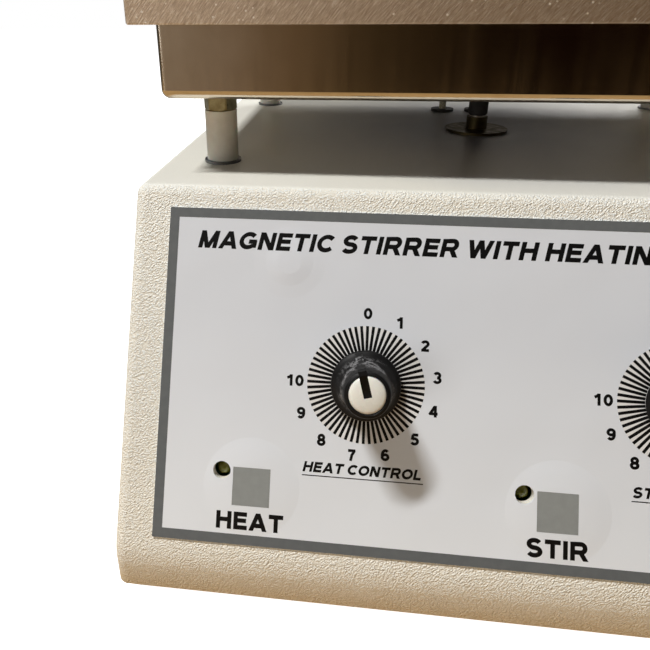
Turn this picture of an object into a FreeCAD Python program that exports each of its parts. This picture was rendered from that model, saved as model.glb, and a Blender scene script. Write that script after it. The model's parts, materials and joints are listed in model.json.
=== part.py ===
import FreeCAD, Part
import math
import os
import re
from types import SimpleNamespace

import Sketcher
from FreeCAD import Placement, Rotation, Vector

# Magnetic stirrer with a heated plate. Millimetres, +Z up, the front panel faces -Y, and the origin is
# under the middle of the machine, on the surface that its feet stand on.

SIZES = {
    # moulded case, with a sloping front
    "case_width": 260.6,
    "case_depth": 258.3,
    "case_top": 131.7,
    "case_floor": 9.4,
    "wall": 2.5,
    "floor_rim": 18.0,
    "front_bend": 16.0,
    "top_bend": 4.5,
    "side_bend": 4.0,
    "rear_overhang": 9.0,
    # front panel: a film on the sloping face, measured along the slope from the film's lower edge
    "panel_tilt": 26.8,
    "panel_foot": 29.0,
    "bend_below_film": 3.0,
    "film_width": 234.0,
    "film_height": 107.75,
    "film_thickness": 0.5,
    "film_corner": 1.5,
    "first_group": -117.0,
    "group_pitch": 94.17,
    "dial_across": 66.7,
    "dial_up": 53.0,
    "key_across": 31.67,
    "key_up": 18.22,
    "led_across": 21.9,
    "led_up": 22.9,
    # keys
    "key_side": 12.0,
    "key_gap": 0.05,
    "key_thickness": 2.0,
    "key_hole": 13.6,
    "stem_diameter": 4.0,
    "stem_end": 4.0,
    "switch_side": 6.0,
    "switch_height": 3.5,
    "switch_floor": 0.6,
    "plunger_diameter": 3.4,
    "plunger_length": 5.0,
    "plunger_bore": 3.6,
    # indicator lamps
    "led_diameter": 5.0,
    "led_height": 8.6,
    "led_rim_diameter": 5.8,
    "led_rim_thickness": 1.0,
    "led_hole": 5.7,
    # board behind the front panel
    "front_board_length": 132.0,
    "front_board_height": 28.0,
    "board_thickness": 1.6,
    "front_board_depth": 10.5,
    "spacer_pin_diameter": 6.0,
    # potentiometers and their knobs, measured outwards from the case wall
    "pot_diameter": 16.6,
    "pot_depth": 9.0,
    "bushing_diameter": 7.0,
    "bushing_reach": 5.0,
    "bushing_bore": 6.1,
    "pot_shaft_diameter": 6.0,
    "pot_shaft_reach": 15.0,
    "pot_washer_diameter": 12.0,
    "pot_washer_thickness": 0.6,
    "pot_nut_flats": 10.0,
    "pot_nut_thickness": 2.0,
    "skirt_diameter": 21.9,
    "skirt_bottom": 1.0,
    "skirt_edge": 3.0,
    "knob_waist_diameter": 15.4,
    "knob_waist": 9.0,
    "knob_bevel": 1.0,
    "flare_belly": 0.9,
    "flare_level": 6.4,
    "knob_nose_diameter": 13.6,
    "knob_nose": 18.2,
    "knob_top": 19.2,
    "knob_recess_diameter": 16.0,
    "knob_recess_top": 6.0,
    "cap_diameter": 10.9,
    "cap_seat": 16.6,
    "cap_rim": 18.9,
    "cap_crown": 19.7,
    "pointer_width": 2.4,
    "pointer_inset": 0.4,
    "pointer_proud": 0.5,
    "pointer_angle": 15.0,
    # hot plate and the stainless pan below it
    "plate_width": 263.0,
    "plate_depth": 182.8,
    "plate_thickness": 9.5,
    "plate_bevel": 0.5,
    "plate_setback": 62.1,
    "pan_width": 248.5,
    "pan_depth": 168.4,
    "pan_height": 24.5,
    "pan_sheet": 1.2,
    "pan_bend": 3.0,
    "pan_corner": 2.0,
    "air_gap": 25.6,
    "stud_inset": 17.2,
    # stack of parts on each stud
    "stud_diameter": 6.0,
    "stud_thread": 6.0,
    "stud_clearance": 6.4,
    "foot_washer_diameter": 14.0,
    "foot_washer_thickness": 1.0,
    "spacer_diameter": 12.0,
    "nut_flats": 11.0,
    "nut_corner": 0.19,
    "nut_bevel": 0.7,
    "nut_thickness": 5.2,
    "thin_washer_diameter": 13.0,
    "thin_washer_thickness": 0.8,
    # heater
    "element_diameter": 8.0,
    "element_half_width": 88.0,
    "element_half_depth": 52.0,
    "element_corner": 26.0,
    "element_gap": 0.1,
    "clamp_width": 12.0,
    "clamp_sheet": 1.5,
    "clamp_ear": 9.0,
    "clamp_post": 6.3,
    "insulation_thickness": 8.0,
    "insulation_margin": 6.0,
    "insulation_hole": 84.0,
    "cutout_diameter": 16.0,
    "cutout_height": 6.0,
    "cutout_across": 60.0,
    "lead_diameter": 3.6,
    "lead_spacing": 9.0,
    "lead_bottom": 104.0,
    "grommet_bore": 4.4,
    "grommet_groove": 9.0,
    "grommet_diameter": 12.0,
    "grommet_lip": 1.4,
    # stirring drive
    "shaft_diameter": 6.0,
    "shaft_bore": 6.1,
    "shaft_bottom": 48.0,
    "seal_flange_diameter": 28.0,
    "seal_flange_thickness": 1.2,
    "seal_diameter": 9.4,
    "seal_height": 6.6,
    "hub_diameter": 8.6,
    "hub_bottom": 138.9,
    "hub_bend": 1.2,
    "pan_hole": 22.0,
    "carrier_diameter": 66.0,
    "carrier_thickness": 4.0,
    "magnet_diameter": 18.0,
    "magnet_height": 9.0,
    "magnet_radius": 21.0,
    "magnet_gap": 1.6,
    "motor_diameter": 58.0,
    "motor_wall": 2.0,
    "motor_height": 62.0,
    "motor_boss_diameter": 20.0,
    "motor_boss_height": 4.0,
    "rotor_diameter": 44.0,
    "rotor_height": 36.0,
    "bracket_top": 100.0,
    "bracket_sheet": 2.0,
    "bracket_width": 74.0,
    "bracket_depth": 50.0,
    "bracket_foot": 16.0,
    # base, feet and screws
    "base_inset": 10.0,
    "base_sheet": 1.4,
    "foot_diameter": 20.0,
    "foot_height": 8.0,
    "foot_taper": 2.0,
    "foot_inset": 36.0,
    "screw_diameter": 3.0,
    "screw_head_diameter": 5.6,
    "screw_head_height": 1.8,
    "vent_across": 82.0,
    "vent_length": 34.0,
    "vent_width": 4.0,
    "vent_pitch": 11.0,
    "vent_count": 7,
    # supply parts
    "board_x": -68.0,
    "board_y": -60.0,
    "core_x": 74.0,
    "core_y": 62.0,
    "board_length": 84.0,
    "board_width": 50.0,
    "board_lift": 10.0,
    "core_length": 52.0,
    "core_width": 26.0,
    "core_height": 44.0,
    "coil_length": 34.0,
    "coil_width": 40.0,
    "coil_height": 28.0,
    "strap_width": 12.0,
    "strap_thickness": 2.0,
    "heatsink_across": -30.0,
    "fin_count": 5,
    "fin_pitch": 5.0,
    "fin_thickness": 2.0,
    "fin_depth": 24.0,
    "fin_height": 22.0,
    "fin_root": 3.0,
    "capacitor_across": 4.0,
    "capacitor_back": 12.0,
    "capacitor_diameter": 16.0,
    "capacitor_height": 22.0,
    "terminal_across": 22.0,
    "terminal_front": 18.0,
    "terminal_length": 30.0,
    "terminal_width": 10.0,
    "terminal_height": 12.0,
    "terminal_count": 5,
    "terminal_pitch": 5.0,
    "terminal_well": 3.6,
    "terminal_well_depth": 5.0,
    "inlet_flange_width": 50.0,
    "inlet_flange_height": 24.0,
    "inlet_flange_thickness": 3.0,
    "inlet_body_width": 28.0,
    "inlet_body_height": 20.5,
    "inlet_body_depth": 17.0,
    "inlet_socket_width": 24.0,
    "inlet_socket_height": 16.0,
    "inlet_socket_depth": 15.0,
    "inlet_screw_spacing": 40.0,
    "inlet_across": 78.0,
    "inlet_up": 34.0,
    "pin_thickness": 2.0,
    "pin_width": 4.0,
    "pin_length": 9.0,
    "pin_spread": 7.0,
    "pin_rise": 2.0,
    "fuse_cap_diameter": 15.0,
    "fuse_body_diameter": 12.0,
    "fuse_body_depth": 26.0,
    "fuse_across": 32.0,
    "fuse_slot": 2.0,
}
GROUPS = ("heat", "stir")
AXIS_X = Vector(1, 0, 0)
AXIS_Z = Vector(0, 0, 1)
UPRIGHT = Rotation()

doc = FreeCAD.newDocument("magnetic_stirrer")
sheet = doc.addObject("Spreadsheet::Sheet", "sizes")
for row, (alias, value) in enumerate(SIZES.items(), start=1):
    sheet.set(f"A{row}", alias)
    sheet.set(f"B{row}", str(value))
    sheet.setAlias(f"B{row}", alias)
doc.recompute()
d = SimpleNamespace(**{alias: float(sheet.get(alias)) for alias in SIZES})
subparts = []


# ---- small tools ------------------------------------------------------------------------------------


def in_sheet(formula):
    """Formula with each name that the sheet holds turned into a reference to its cell."""
    return re.sub(r"[a-z_]+", lambda word: f"sizes.{word[0]}" if word[0] in SIZES else word[0], formula)


def bind(obj, **properties):
    """Tie properties of an object to formulas in the sheet's names."""
    for name, formula in properties.items():
        obj.setExpression(name, in_sheet(formula))


def keep(obj, label):
    """Register an object as a sub-part, under the name of its node."""
    obj.Label = label
    subparts.append(obj)
    return obj


def at(x, y, z):
    return Placement(Vector(x, y, z), UPRIGHT)


def box(name, length, width, height, place):
    """Block that stands on the middle of its placement."""
    obj = doc.addObject("Part::Box", name)
    bind(obj, Length=length, Width=width, Height=height)
    doc.recompute()
    obj.Placement = place.multiply(at(-obj.Length.Value / 2, -obj.Width.Value / 2, 0))
    return obj


def cylinder(name, radius, height, place):
    obj = doc.addObject("Part::Cylinder", name)
    bind(obj, Radius=radius, Height=height)
    obj.Placement = place
    return obj


def prism(name, flats, height, place):
    """Hexagonal nut blank, sized across its flats."""
    obj = doc.addObject("Part::Prism", name)
    obj.Polygon = 6
    bind(obj, Circumradius=f"{flats} / sqrt(3)", Height=height)
    obj.Placement = place
    return obj


def fuse(name, pieces):
    obj = doc.addObject("Part::MultiFuse", name)
    obj.Shapes = pieces
    obj.Refine = True
    return obj


def cut(name, base, tool):
    obj = doc.addObject("Part::Cut", name)
    obj.Base = base
    obj.Tool = tool
    return obj


def group(name, pieces):
    """Several separate solids that share one node."""
    obj = doc.addObject("Part::Compound", name)
    obj.Links = pieces
    return obj


def ring(name, radius, bore, height, place):
    """Washer or tube, standing on the XY plane of its placement."""
    outside = cylinder(f"{name}_outside", radius, height, place)
    inside = cylinder(f"{name}_inside", bore, height, place)
    return cut(name, outside, inside)


def nut(name, flats, bore, height, place):
    """Hexagonal nut with its corners turned down to a bevelled disc a little inside them."""
    blank = prism(f"{name}_blank", flats, height, place)
    corners = cylinder(f"{name}_corners", f"{flats} / sqrt(3) - nut_corner", height, place)
    bevelled = doc.addObject("Part::Chamfer", f"{name}_bevelled")
    doc.recompute()
    bevelled.Base = corners
    bevelled.Edges = [(index + 1, d.nut_bevel, d.nut_bevel) for index in rims(corners.Shape)]
    common = doc.addObject("Part::MultiCommon", f"{name}_hexagon")
    common.Shapes = [blank, bevelled]
    return cut(name, common, cylinder(f"{name}_bore", bore, height, place))


def rims(shape):
    """Indices of the circular edges of a cylinder."""
    return [i for i, edge in enumerate(shape.Edges) if isinstance(edge.Curve, Part.Circle)]


def screw(name, place, length, radius="screw_diameter / 2"):
    """Pan-head screw. Its head's seat is at the placement and its shank runs along +Z."""
    head = cylinder(f"{name}_head", "screw_head_diameter / 2", "screw_head_height",
                    place.multiply(at(0, 0, -d.screw_head_height)))
    shank = cylinder(f"{name}_shank", radius, length, place)
    slot = box(f"{name}_slot", "screw_head_diameter", "screw_head_height / 2", "screw_head_height / 2",
               place.multiply(at(0, 0, -d.screw_head_height)))
    return cut(name, fuse(f"{name}_solid", [head, shank]), slot)


def new_body(label):
    body = doc.addObject("PartDesign::Body", label)
    return keep(body, label)


def new_sketch(body, name, role="XY_Plane", offset=None):
    sketch = body.newObject("Sketcher::SketchObject", name)
    plane = next(f for f in body.Origin.OriginFeatures if f.Role == role)
    sketch.AttachmentSupport = (plane, [""])
    sketch.MapMode = "FlatFace"
    if offset is not None:
        sketch.AttachmentOffset = offset
    return sketch


def add_circle(sketch, x, y, radius):
    """Circle whose radius follows a formula in the sheet's names."""
    circle = sketch.addGeometry(Part.Circle(Vector(x, y, 0), AXIS_Z, 1.0), False)
    index = sketch.addConstraint(Sketcher.Constraint("Radius", circle, 1.0))
    sketch.setExpression(f"Constraints[{index}]", in_sheet(radius))


def add_outline(sketch, points):
    """Closed outline of straight lines through the points, in order."""
    for start, end in zip(points, points[1:] + points[:1]):
        sketch.addGeometry(Part.LineSegment(Vector(*start, 0), Vector(*end, 0)), False)


def add_rectangle(sketch, x, y, width, height):
    add_outline(sketch, [(x - width / 2, y - height / 2), (x + width / 2, y - height / 2),
                         (x + width / 2, y + height / 2), (x - width / 2, y + height / 2)])


def feature(body, kind, name, sketch, **formulas):
    """Pad or pocket from a sketch, with its sizes tied to the sheet."""
    made = body.newObject(f"PartDesign::{kind}", name)
    made.Profile = sketch
    bind(made, **formulas)
    sketch.Visibility = False
    doc.recompute()
    return made


def dress(body, kind, name, base, edges, **formulas):
    """Fillet or chamfer on some edges of a body's last feature."""
    made = body.newObject(f"PartDesign::{kind}", name)
    made.Base = (base, [f"Edge{index + 1}" for index in edges])
    bind(made, **formulas)
    doc.recompute()
    return made


# ---- main planes and places -------------------------------------------------------------------------

TILT = math.radians(d.panel_tilt)
FRONT = -(d.case_depth + d.rear_overhang) / 2
BACK = FRONT + d.case_depth
PANEL_FOOT_Y = FRONT + d.front_bend * (1 - math.cos(TILT)) + d.bend_below_film * math.sin(TILT)
PANEL_TURN = Rotation(AXIS_X, 90 - d.panel_tilt)
PANEL = Placement(Vector(0, PANEL_FOOT_Y, d.panel_foot), PANEL_TURN)
PLATE_FRONT = PANEL_FOOT_Y + d.plate_setback
SHAFT_Y = PLATE_FRONT + d.plate_depth / 2
PAN_BOTTOM = d.case_top + d.air_gap
PLATE_BOTTOM = PAN_BOTTOM + d.pan_height
ALONG_Y = Rotation(AXIS_X, -90)
CEILING = d.case_top - d.wall


def on_panel(across, up, outwards, turn=UPRIGHT):
    """Placement on the sloping panel: local X runs right, Y up the slope and Z outwards."""
    return PANEL.multiply(Placement(Vector(across, up, outwards), turn))


def group_x(index, across):
    """Distance of a control from the panel's middle line, in the first or second group."""
    return d.first_group + index * d.group_pitch + across


def slope_point(up, outwards):
    """Point of the case's side view, as (y, z), from its place on the panel."""
    return (PANEL_FOOT_Y + up * math.sin(TILT) - outwards * math.cos(TILT),
            d.panel_foot + up * math.cos(TILT) + outwards * math.sin(TILT))


def stud_places(z):
    half_x = d.pan_width / 2 - d.stud_inset
    half_y = d.pan_depth / 2 - d.stud_inset
    return [at(x, SHAFT_Y + y, z) for x in (-half_x, half_x) for y in (-half_y, half_y)]


# ---- case -------------------------------------------------------------------------------------------


def add_side_view(sketch, inset, bottom):
    """Side view of the case, offset inwards by the inset: upright skirt, bend, slope, top and back."""
    centre_y, centre_z = slope_point(-d.bend_below_film, -d.front_bend)
    bend = d.front_bend - inset
    arc = [(centre_y - bend * math.cos(a), centre_z + bend * math.sin(a)) for a in (0, TILT / 2, TILT)]
    top = d.case_top - inset
    top_bend = d.top_bend - inset
    rise = (top - top_bend - d.panel_foot + (top_bend + inset) * math.sin(TILT)) / math.cos(TILT)
    bend_y, bend_z = slope_point(rise, -inset - top_bend)
    half = (math.pi / 2 + TILT) / 2
    top_arc = [(bend_y - top_bend * math.cos(a), bend_z + top_bend * math.sin(a))
               for a in (TILT, half, math.pi / 2)]
    back = BACK - inset
    corner = [(back - top_bend, top), (back - top_bend * (1 - math.sqrt(0.5)), top - top_bend
              * (1 - math.sqrt(0.5))), (back, top - top_bend)]
    for points in (arc, top_arc, corner):
        sketch.addGeometry(Part.Arc(*[Vector(y, z, 0) for y, z in points]), False)
    for start, end in ((arc[2], top_arc[0]), (top_arc[2], corner[0]), (corner[2], (back, bottom)),
                       ((back, bottom), (FRONT + inset, bottom)), ((FRONT + inset, bottom), arc[0])):
        sketch.addGeometry(Part.LineSegment(Vector(*start, 0), Vector(*end, 0)), False)


def side_edges(shape, half_width):
    """Edges of the two flat sides, all but the lowest ones."""
    return [i for i, edge in enumerate(shape.Edges)
            if abs(edge.BoundBox.XMin - edge.BoundBox.XMax) < 1e-4
            and abs(abs(edge.BoundBox.XMin) - half_width) < 1e-4
            and edge.BoundBox.ZMax > d.case_floor + 1]


def make_case():
    body = new_body("case_shell")
    outline = new_sketch(body, "case_side_view", "YZ_Plane")
    add_side_view(outline, 0, d.case_floor)
    block = feature(body, "Pad", "case_block", outline, Length="case_width")
    block.SideType = "Symmetric"
    doc.recompute()
    dress(body, "Fillet", "case_side_bends", block, side_edges(block.Shape, d.case_width / 2),
          Radius="side_bend")
    cavity_view = new_sketch(body, "cavity_side_view", "YZ_Plane")
    add_side_view(cavity_view, d.wall, d.case_floor + d.wall)
    cavity = feature(body, "Pocket", "case_cavity", cavity_view, Length="case_width - 2 * wall")
    cavity.SideType = "Symmetric"
    mouth = new_sketch(body, "floor_mouth", "XY_Plane", at(0, 0, d.case_floor + 2 * d.wall))
    add_rectangle(mouth, 0, (FRONT + BACK) / 2, d.case_width - 2 * d.floor_rim,
                  d.case_depth - 2 * d.floor_rim)
    feature(body, "Pocket", "case_mouth", mouth, Length="3 * wall")
    panel_holes = new_sketch(body, "panel_round_holes", "XY_Plane", PANEL)
    for i in range(len(GROUPS)):
        add_circle(panel_holes, group_x(i, d.dial_across), d.dial_up, "bushing_diameter / 2")
        add_circle(panel_holes, group_x(i, d.led_across), d.led_up, "led_hole / 2")
    feature(body, "Pocket", "panel_round_cuts", panel_holes, Length="2 * wall")
    key_holes = new_sketch(body, "panel_key_holes", "XY_Plane", PANEL)
    for i in range(len(GROUPS)):
        add_rectangle(key_holes, group_x(i, d.key_across), d.key_up, d.key_hole, d.key_hole)
    feature(body, "Pocket", "panel_key_cuts", key_holes, Length="2 * wall")
    top_holes = new_sketch(body, "top_holes", "XY_Plane", at(0, 0, d.case_top))
    for place in stud_places(0):
        add_circle(top_holes, place.Base.x, place.Base.y, "stud_clearance / 2")
    add_circle(top_holes, 0, SHAFT_Y, "seal_diameter / 2")
    for side in (-1, 1):
        add_circle(top_holes, side * d.lead_spacing, SHAFT_Y + d.element_half_depth, "grommet_groove / 2")
    feature(body, "Pocket", "top_cuts", top_holes, Length="2 * wall")
    back_holes = new_sketch(body, "back_holes", "XZ_Plane", at(0, 0, -(BACK - 2 * d.wall)))
    add_rectangle(back_holes, -d.inlet_across, d.inlet_up, d.inlet_body_width, d.inlet_body_height)
    add_circle(back_holes, -d.fuse_across, d.inlet_up, "fuse_body_diameter / 2")
    for side in (-1, 1):
        add_circle(back_holes, -d.inlet_across + side * d.inlet_screw_spacing / 2, d.inlet_up,
                   "screw_diameter / 2")
    feature(body, "Pocket", "back_cuts", back_holes, Length="4 * wall")
    floor_holes = new_sketch(body, "rim_holes", "XY_Plane", at(0, 0, d.case_floor + 2 * d.wall))
    for place in base_screw_places(0):
        add_circle(floor_holes, place.Base.x, place.Base.y, "screw_diameter / 2")
    feature(body, "Pocket", "rim_cuts", floor_holes, Length="3 * wall")


def base_screw_places(z):
    """Screws that hold the base plate to the rim round the case's mouth."""
    inset = (d.base_inset + d.floor_rim) / 2
    half_x = d.case_width / 2 - inset
    half_y = d.case_depth / 2 - inset
    middle = (FRONT + BACK) / 2
    return [at(x, middle + y, z) for x in (-half_x, 0, half_x) for y in (-half_y, half_y)]


def foot_places(z):
    half_x = d.case_width / 2 - d.foot_inset
    half_y = d.case_depth / 2 - d.foot_inset
    middle = (FRONT + BACK) / 2
    return [at(x, middle + y, z) for x in (-half_x, half_x) for y in (-half_y, half_y)]


def make_base():
    body = new_body("base_plate")
    outline = new_sketch(body, "base_outline", "XY_Plane", at(0, 0, d.foot_height))
    middle = (FRONT + BACK) / 2
    add_rectangle(outline, 0, middle, d.case_width - 2 * d.base_inset, d.case_depth - 2 * d.base_inset)
    plate = feature(body, "Pad", "base_sheet_metal", outline, Length="base_sheet")
    corners = [i for i, edge in enumerate(plate.Shape.Edges)
               if edge.BoundBox.ZLength > d.base_sheet / 2]
    dress(body, "Fillet", "base_corners", plate, corners, Radius="4 * base_sheet")
    holes = new_sketch(body, "base_holes", "XY_Plane", at(0, 0, d.foot_height + d.base_sheet))
    for place in base_screw_places(0) + foot_places(0) + bracket_screw_places(0):
        add_circle(holes, place.Base.x, place.Base.y, "screw_diameter / 2")
    for place in board_corners(0) + [at(x, y, 0) for x, y in transformer_screw_points()]:
        add_circle(holes, place.Base.x, place.Base.y, "screw_diameter / 2")
    feature(body, "Pocket", "base_hole_cuts", holes, Length="2 * base_sheet")
    vents = new_sketch(body, "base_vents", "XY_Plane", at(0, 0, d.foot_height + d.base_sheet))
    for step in range(int(d.vent_count)):
        y = middle + (step - (d.vent_count - 1) / 2) * d.vent_pitch
        for side in (-1, 1):
            add_rectangle(vents, side * d.vent_across, y, d.vent_length, d.vent_width)
    feature(body, "Pocket", "base_vent_cuts", vents, Length="2 * base_sheet")
    feet = []
    for i, place in enumerate(foot_places(0)):
        foot = doc.addObject("Part::Cone", f"foot_{i}")
        bind(foot, Radius1="(foot_diameter - foot_taper) / 2", Radius2="foot_diameter / 2",
             Height="foot_height")
        foot.Placement = place
        well = cylinder(f"foot_well_{i}", "screw_head_diameter / 2 + 0.4", "foot_height / 2", place)
        hole = cylinder(f"foot_hole_{i}", "screw_diameter / 2", "foot_height", place)
        feet.append(cut(f"foot_drilled_{i}", foot, fuse(f"foot_bore_{i}", [well, hole])))
    keep(group("feet", feet), "rubber_feet")
    screws = [screw(f"foot_screw_{i}", place, "foot_height") for i, place in
              enumerate(foot_places(d.foot_height / 2))]
    keep(group("foot_screws_group", screws), "foot_screws")
    screws = [screw(f"base_screw_{i}", place, "base_sheet + wall") for i, place in
              enumerate(base_screw_places(d.foot_height))]
    keep(group("base_screws_group", screws), "base_screws")


# ---- front panel ------------------------------------------------------------------------------------


def make_front_film():
    body = new_body("front_film")
    outline = new_sketch(body, "film_outline", "XY_Plane", PANEL)
    add_rectangle(outline, 0, d.film_height / 2, d.film_width, d.film_height)
    film = feature(body, "Pad", "film_sheet", outline, Length="film_thickness")
    corners = [i for i, edge in enumerate(film.Shape.Edges) if edge.Length < 2 * d.film_thickness]
    dress(body, "Fillet", "film_corners", film, corners, Radius="film_corner")
    windows = new_sketch(body, "film_windows", "XY_Plane", on_panel(0, 0, d.film_thickness))
    side = d.key_side + 2 * d.key_gap
    for i in range(len(GROUPS)):
        add_circle(windows, group_x(i, d.dial_across), d.dial_up, "bushing_diameter / 2")
        add_circle(windows, group_x(i, d.led_across), d.led_up, "led_hole / 2")
        add_rectangle(windows, group_x(i, d.key_across), d.key_up, side, side)
    feature(body, "Pocket", "film_cuts", windows, Length="2 * film_thickness")


def make_key(name, index):
    """Square key that sits flush in the film, the push switch behind it and the switch's plunger."""
    x = group_x(index, d.key_across)
    top = d.film_thickness
    pad = box(f"{name}_key_square", "key_side", "key_side", "key_thickness",
              on_panel(x, d.key_up, top - d.key_thickness))
    stem = cylinder(f"{name}_key_stem", "stem_diameter / 2", "stem_end + film_thickness - key_thickness",
                    on_panel(x, d.key_up, -d.stem_end))
    keep(fuse(f"{name}_key_solid", [pad, stem]), f"{name}_key")
    plunger = cylinder(f"{name}_plunger", "plunger_diameter / 2", "plunger_length",
                       on_panel(x, d.key_up, -d.stem_end - d.plunger_length))
    keep(plunger, f"{name}_switch_plunger")
    shell = box(f"{name}_switch_block", "switch_side", "switch_side", "switch_height",
                on_panel(x, d.key_up, -d.front_board_depth))
    bore = cylinder(f"{name}_switch_bore", "plunger_bore / 2", "switch_height",
                    on_panel(x, d.key_up, -d.front_board_depth + d.switch_floor))
    return cut(f"{name}_switch_cut", shell, bore)


def make_lamp(name, index):
    """Five millimetre indicator lamp: rim, barrel and domed nose, set back inside its hole."""
    body = new_body(f"{name}_lamp")
    profile = new_sketch(body, f"{name}_lamp_profile", "XZ_Plane")
    radius = d.led_diameter / 2
    rim = d.led_rim_diameter / 2
    shoulder = d.led_height - radius
    corners = [(0, 0), (rim, 0), (rim, d.led_rim_thickness), (radius, d.led_rim_thickness),
               (radius, shoulder)]
    for start, end in zip(corners, corners[1:]):
        profile.addGeometry(Part.LineSegment(Vector(*start, 0), Vector(*end, 0)), False)
    bend = radius * math.sqrt(0.5)
    profile.addGeometry(Part.Arc(Vector(radius, shoulder, 0), Vector(bend, shoulder + bend, 0),
                                 Vector(0, d.led_height, 0)), False)
    profile.addGeometry(Part.LineSegment(Vector(0, d.led_height, 0), Vector(0, 0, 0)), False)
    revolve(body, f"{name}_lamp_turned", profile)
    body.Placement = on_panel(group_x(index, d.led_across), d.led_up, -d.front_board_depth)


def revolve(body, name, profile):
    """Full turn of a profile about its own vertical axis."""
    turned = body.newObject("PartDesign::Revolution", name)
    turned.Profile = profile
    turned.ReferenceAxis = (profile, ["V_Axis"])
    turned.Angle = 360
    doc.recompute()
    return turned


def make_front_board():
    middle = d.first_group + (d.led_across + d.key_across + d.group_pitch) / 2
    up = (d.led_up + d.key_up) / 2
    board = box("front_board_blank", "front_board_length", "front_board_height", "board_thickness",
                on_panel(middle, up, -d.front_board_depth - d.board_thickness))
    keep(board, "front_board")
    pins = []
    for i, (side, level) in enumerate(((-1, -1), (-1, 1), (1, -1), (1, 1))):
        across = middle + side * (d.front_board_length / 2 - d.spacer_pin_diameter)
        rise = up + level * (d.front_board_height / 2 - d.spacer_pin_diameter)
        pins.append(cylinder(f"front_pin_{i}", "spacer_pin_diameter / 2", "front_board_depth - wall",
                             on_panel(across, rise, -d.front_board_depth)))
    keep(group("front_pins", pins), "front_board_pillars")


def make_potentiometer(name, index):
    x = group_x(index, d.dial_across)
    base = on_panel(x, d.dial_up, -d.wall)
    can = cylinder(f"{name}_pot_can", "pot_diameter / 2", "pot_depth", on_panel(x, d.dial_up,
                   -d.wall - d.pot_depth))
    bushing = cylinder(f"{name}_pot_bushing", "bushing_diameter / 2", "wall + bushing_reach", base)
    bore = cylinder(f"{name}_pot_bore", "bushing_bore / 2", "wall + bushing_reach + pot_depth / 2",
                    on_panel(x, d.dial_up, -d.wall - d.pot_depth / 2))
    body = cut(f"{name}_pot_cut", fuse(f"{name}_pot_solid", [can, bushing]), bore)
    shaft = cylinder(f"{name}_pot_stem", "pot_shaft_diameter / 2", "pot_shaft_reach + wall + pot_depth / 3",
                     on_panel(x, d.dial_up, -d.wall - d.pot_depth / 3))
    keep(shaft, f"{name}_pot_shaft")
    washer = ring(f"{name}_pot_washer_ring", "pot_washer_diameter / 2", "bushing_diameter / 2",
                  "pot_washer_thickness", on_panel(x, d.dial_up, d.film_thickness))
    fixing = nut(f"{name}_pot_nut_hex", "pot_nut_flats", "bushing_diameter / 2", "pot_nut_thickness",
                 on_panel(x, d.dial_up, d.film_thickness + d.pot_washer_thickness))
    return body, washer, fixing


def make_knob(name, index):
    """Bell-shaped pointer knob with a pale inset cap. Both are turned parts with a pointer rib."""
    place = on_panel(group_x(index, d.dial_across), d.dial_up, 0, Rotation(AXIS_Z, d.pointer_angle))
    skirt, waist, nose = d.skirt_diameter / 2, d.knob_waist_diameter / 2, d.knob_nose_diameter / 2
    seat = d.cap_diameter / 2
    bore = d.pot_shaft_diameter / 2
    recess = d.knob_recess_diameter / 2
    bevel = d.knob_bevel
    body = new_body(f"{name}_knob")
    profile = new_sketch(body, f"{name}_knob_profile", "XZ_Plane")
    outline = [(recess, d.skirt_bottom), (skirt - bevel / 2, d.skirt_bottom),
               (skirt, d.skirt_bottom + bevel / 2), (skirt, d.skirt_edge)]
    middle = (waist + d.flare_belly, d.flare_level)
    top = [(waist, d.knob_waist), (nose, d.knob_nose), (nose - bevel, d.knob_top), (seat, d.knob_top),
           (seat, d.cap_seat), (0, d.cap_seat), (0, d.pot_shaft_reach), (bore, d.pot_shaft_reach),
           (bore, d.knob_recess_top), (recess - bevel, d.knob_recess_top), (recess, d.skirt_bottom)]
    for start, end in list(zip(outline, outline[1:])) + list(zip(top, top[1:])):
        profile.addGeometry(Part.LineSegment(Vector(*start, 0), Vector(*end, 0)), False)
    profile.addGeometry(Part.Arc(Vector(*outline[-1], 0), Vector(*middle, 0), Vector(*top[0], 0)), False)
    revolve(body, f"{name}_knob_turned", profile)
    rib = new_sketch(body, f"{name}_knob_rib", "XY_Plane", at(0, 0, d.cap_seat))
    length = nose - d.pointer_inset
    add_rectangle(rib, 0, length / 2, d.pointer_width, length)
    feature(body, "Pad", f"{name}_knob_pointer", rib, Length="cap_rim - cap_seat + pointer_proud")
    body.Placement = place

    cap = new_body(f"{name}_knob_cap")
    disc = new_sketch(cap, f"{name}_cap_profile", "XZ_Plane")
    edge = seat - d.key_gap
    for start, end in (((0, d.cap_crown), (0, d.cap_seat)), ((0, d.cap_seat), (edge, d.cap_seat)),
                       ((edge, d.cap_seat), (edge, d.cap_rim))):
        disc.addGeometry(Part.LineSegment(Vector(*start, 0), Vector(*end, 0)), False)
    quarter = (d.cap_crown - d.cap_rim) / 4
    disc.addGeometry(Part.Arc(Vector(edge, d.cap_rim, 0), Vector(edge / 2, d.cap_crown - quarter, 0),
                              Vector(0, d.cap_crown, 0)), False)
    revolve(cap, f"{name}_cap_turned", disc)
    slot = new_sketch(cap, f"{name}_cap_slot", "XY_Plane", at(0, 0, d.cap_crown + 1))
    add_rectangle(slot, 0, length / 2 - d.key_gap, d.pointer_width + 2 * d.key_gap, length)
    feature(cap, "Pocket", f"{name}_cap_cut", slot, Length="cap_crown + 1 - cap_seat")
    cap.Placement = place


# ---- hot plate, pan and studs -----------------------------------------------------------------------


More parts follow.
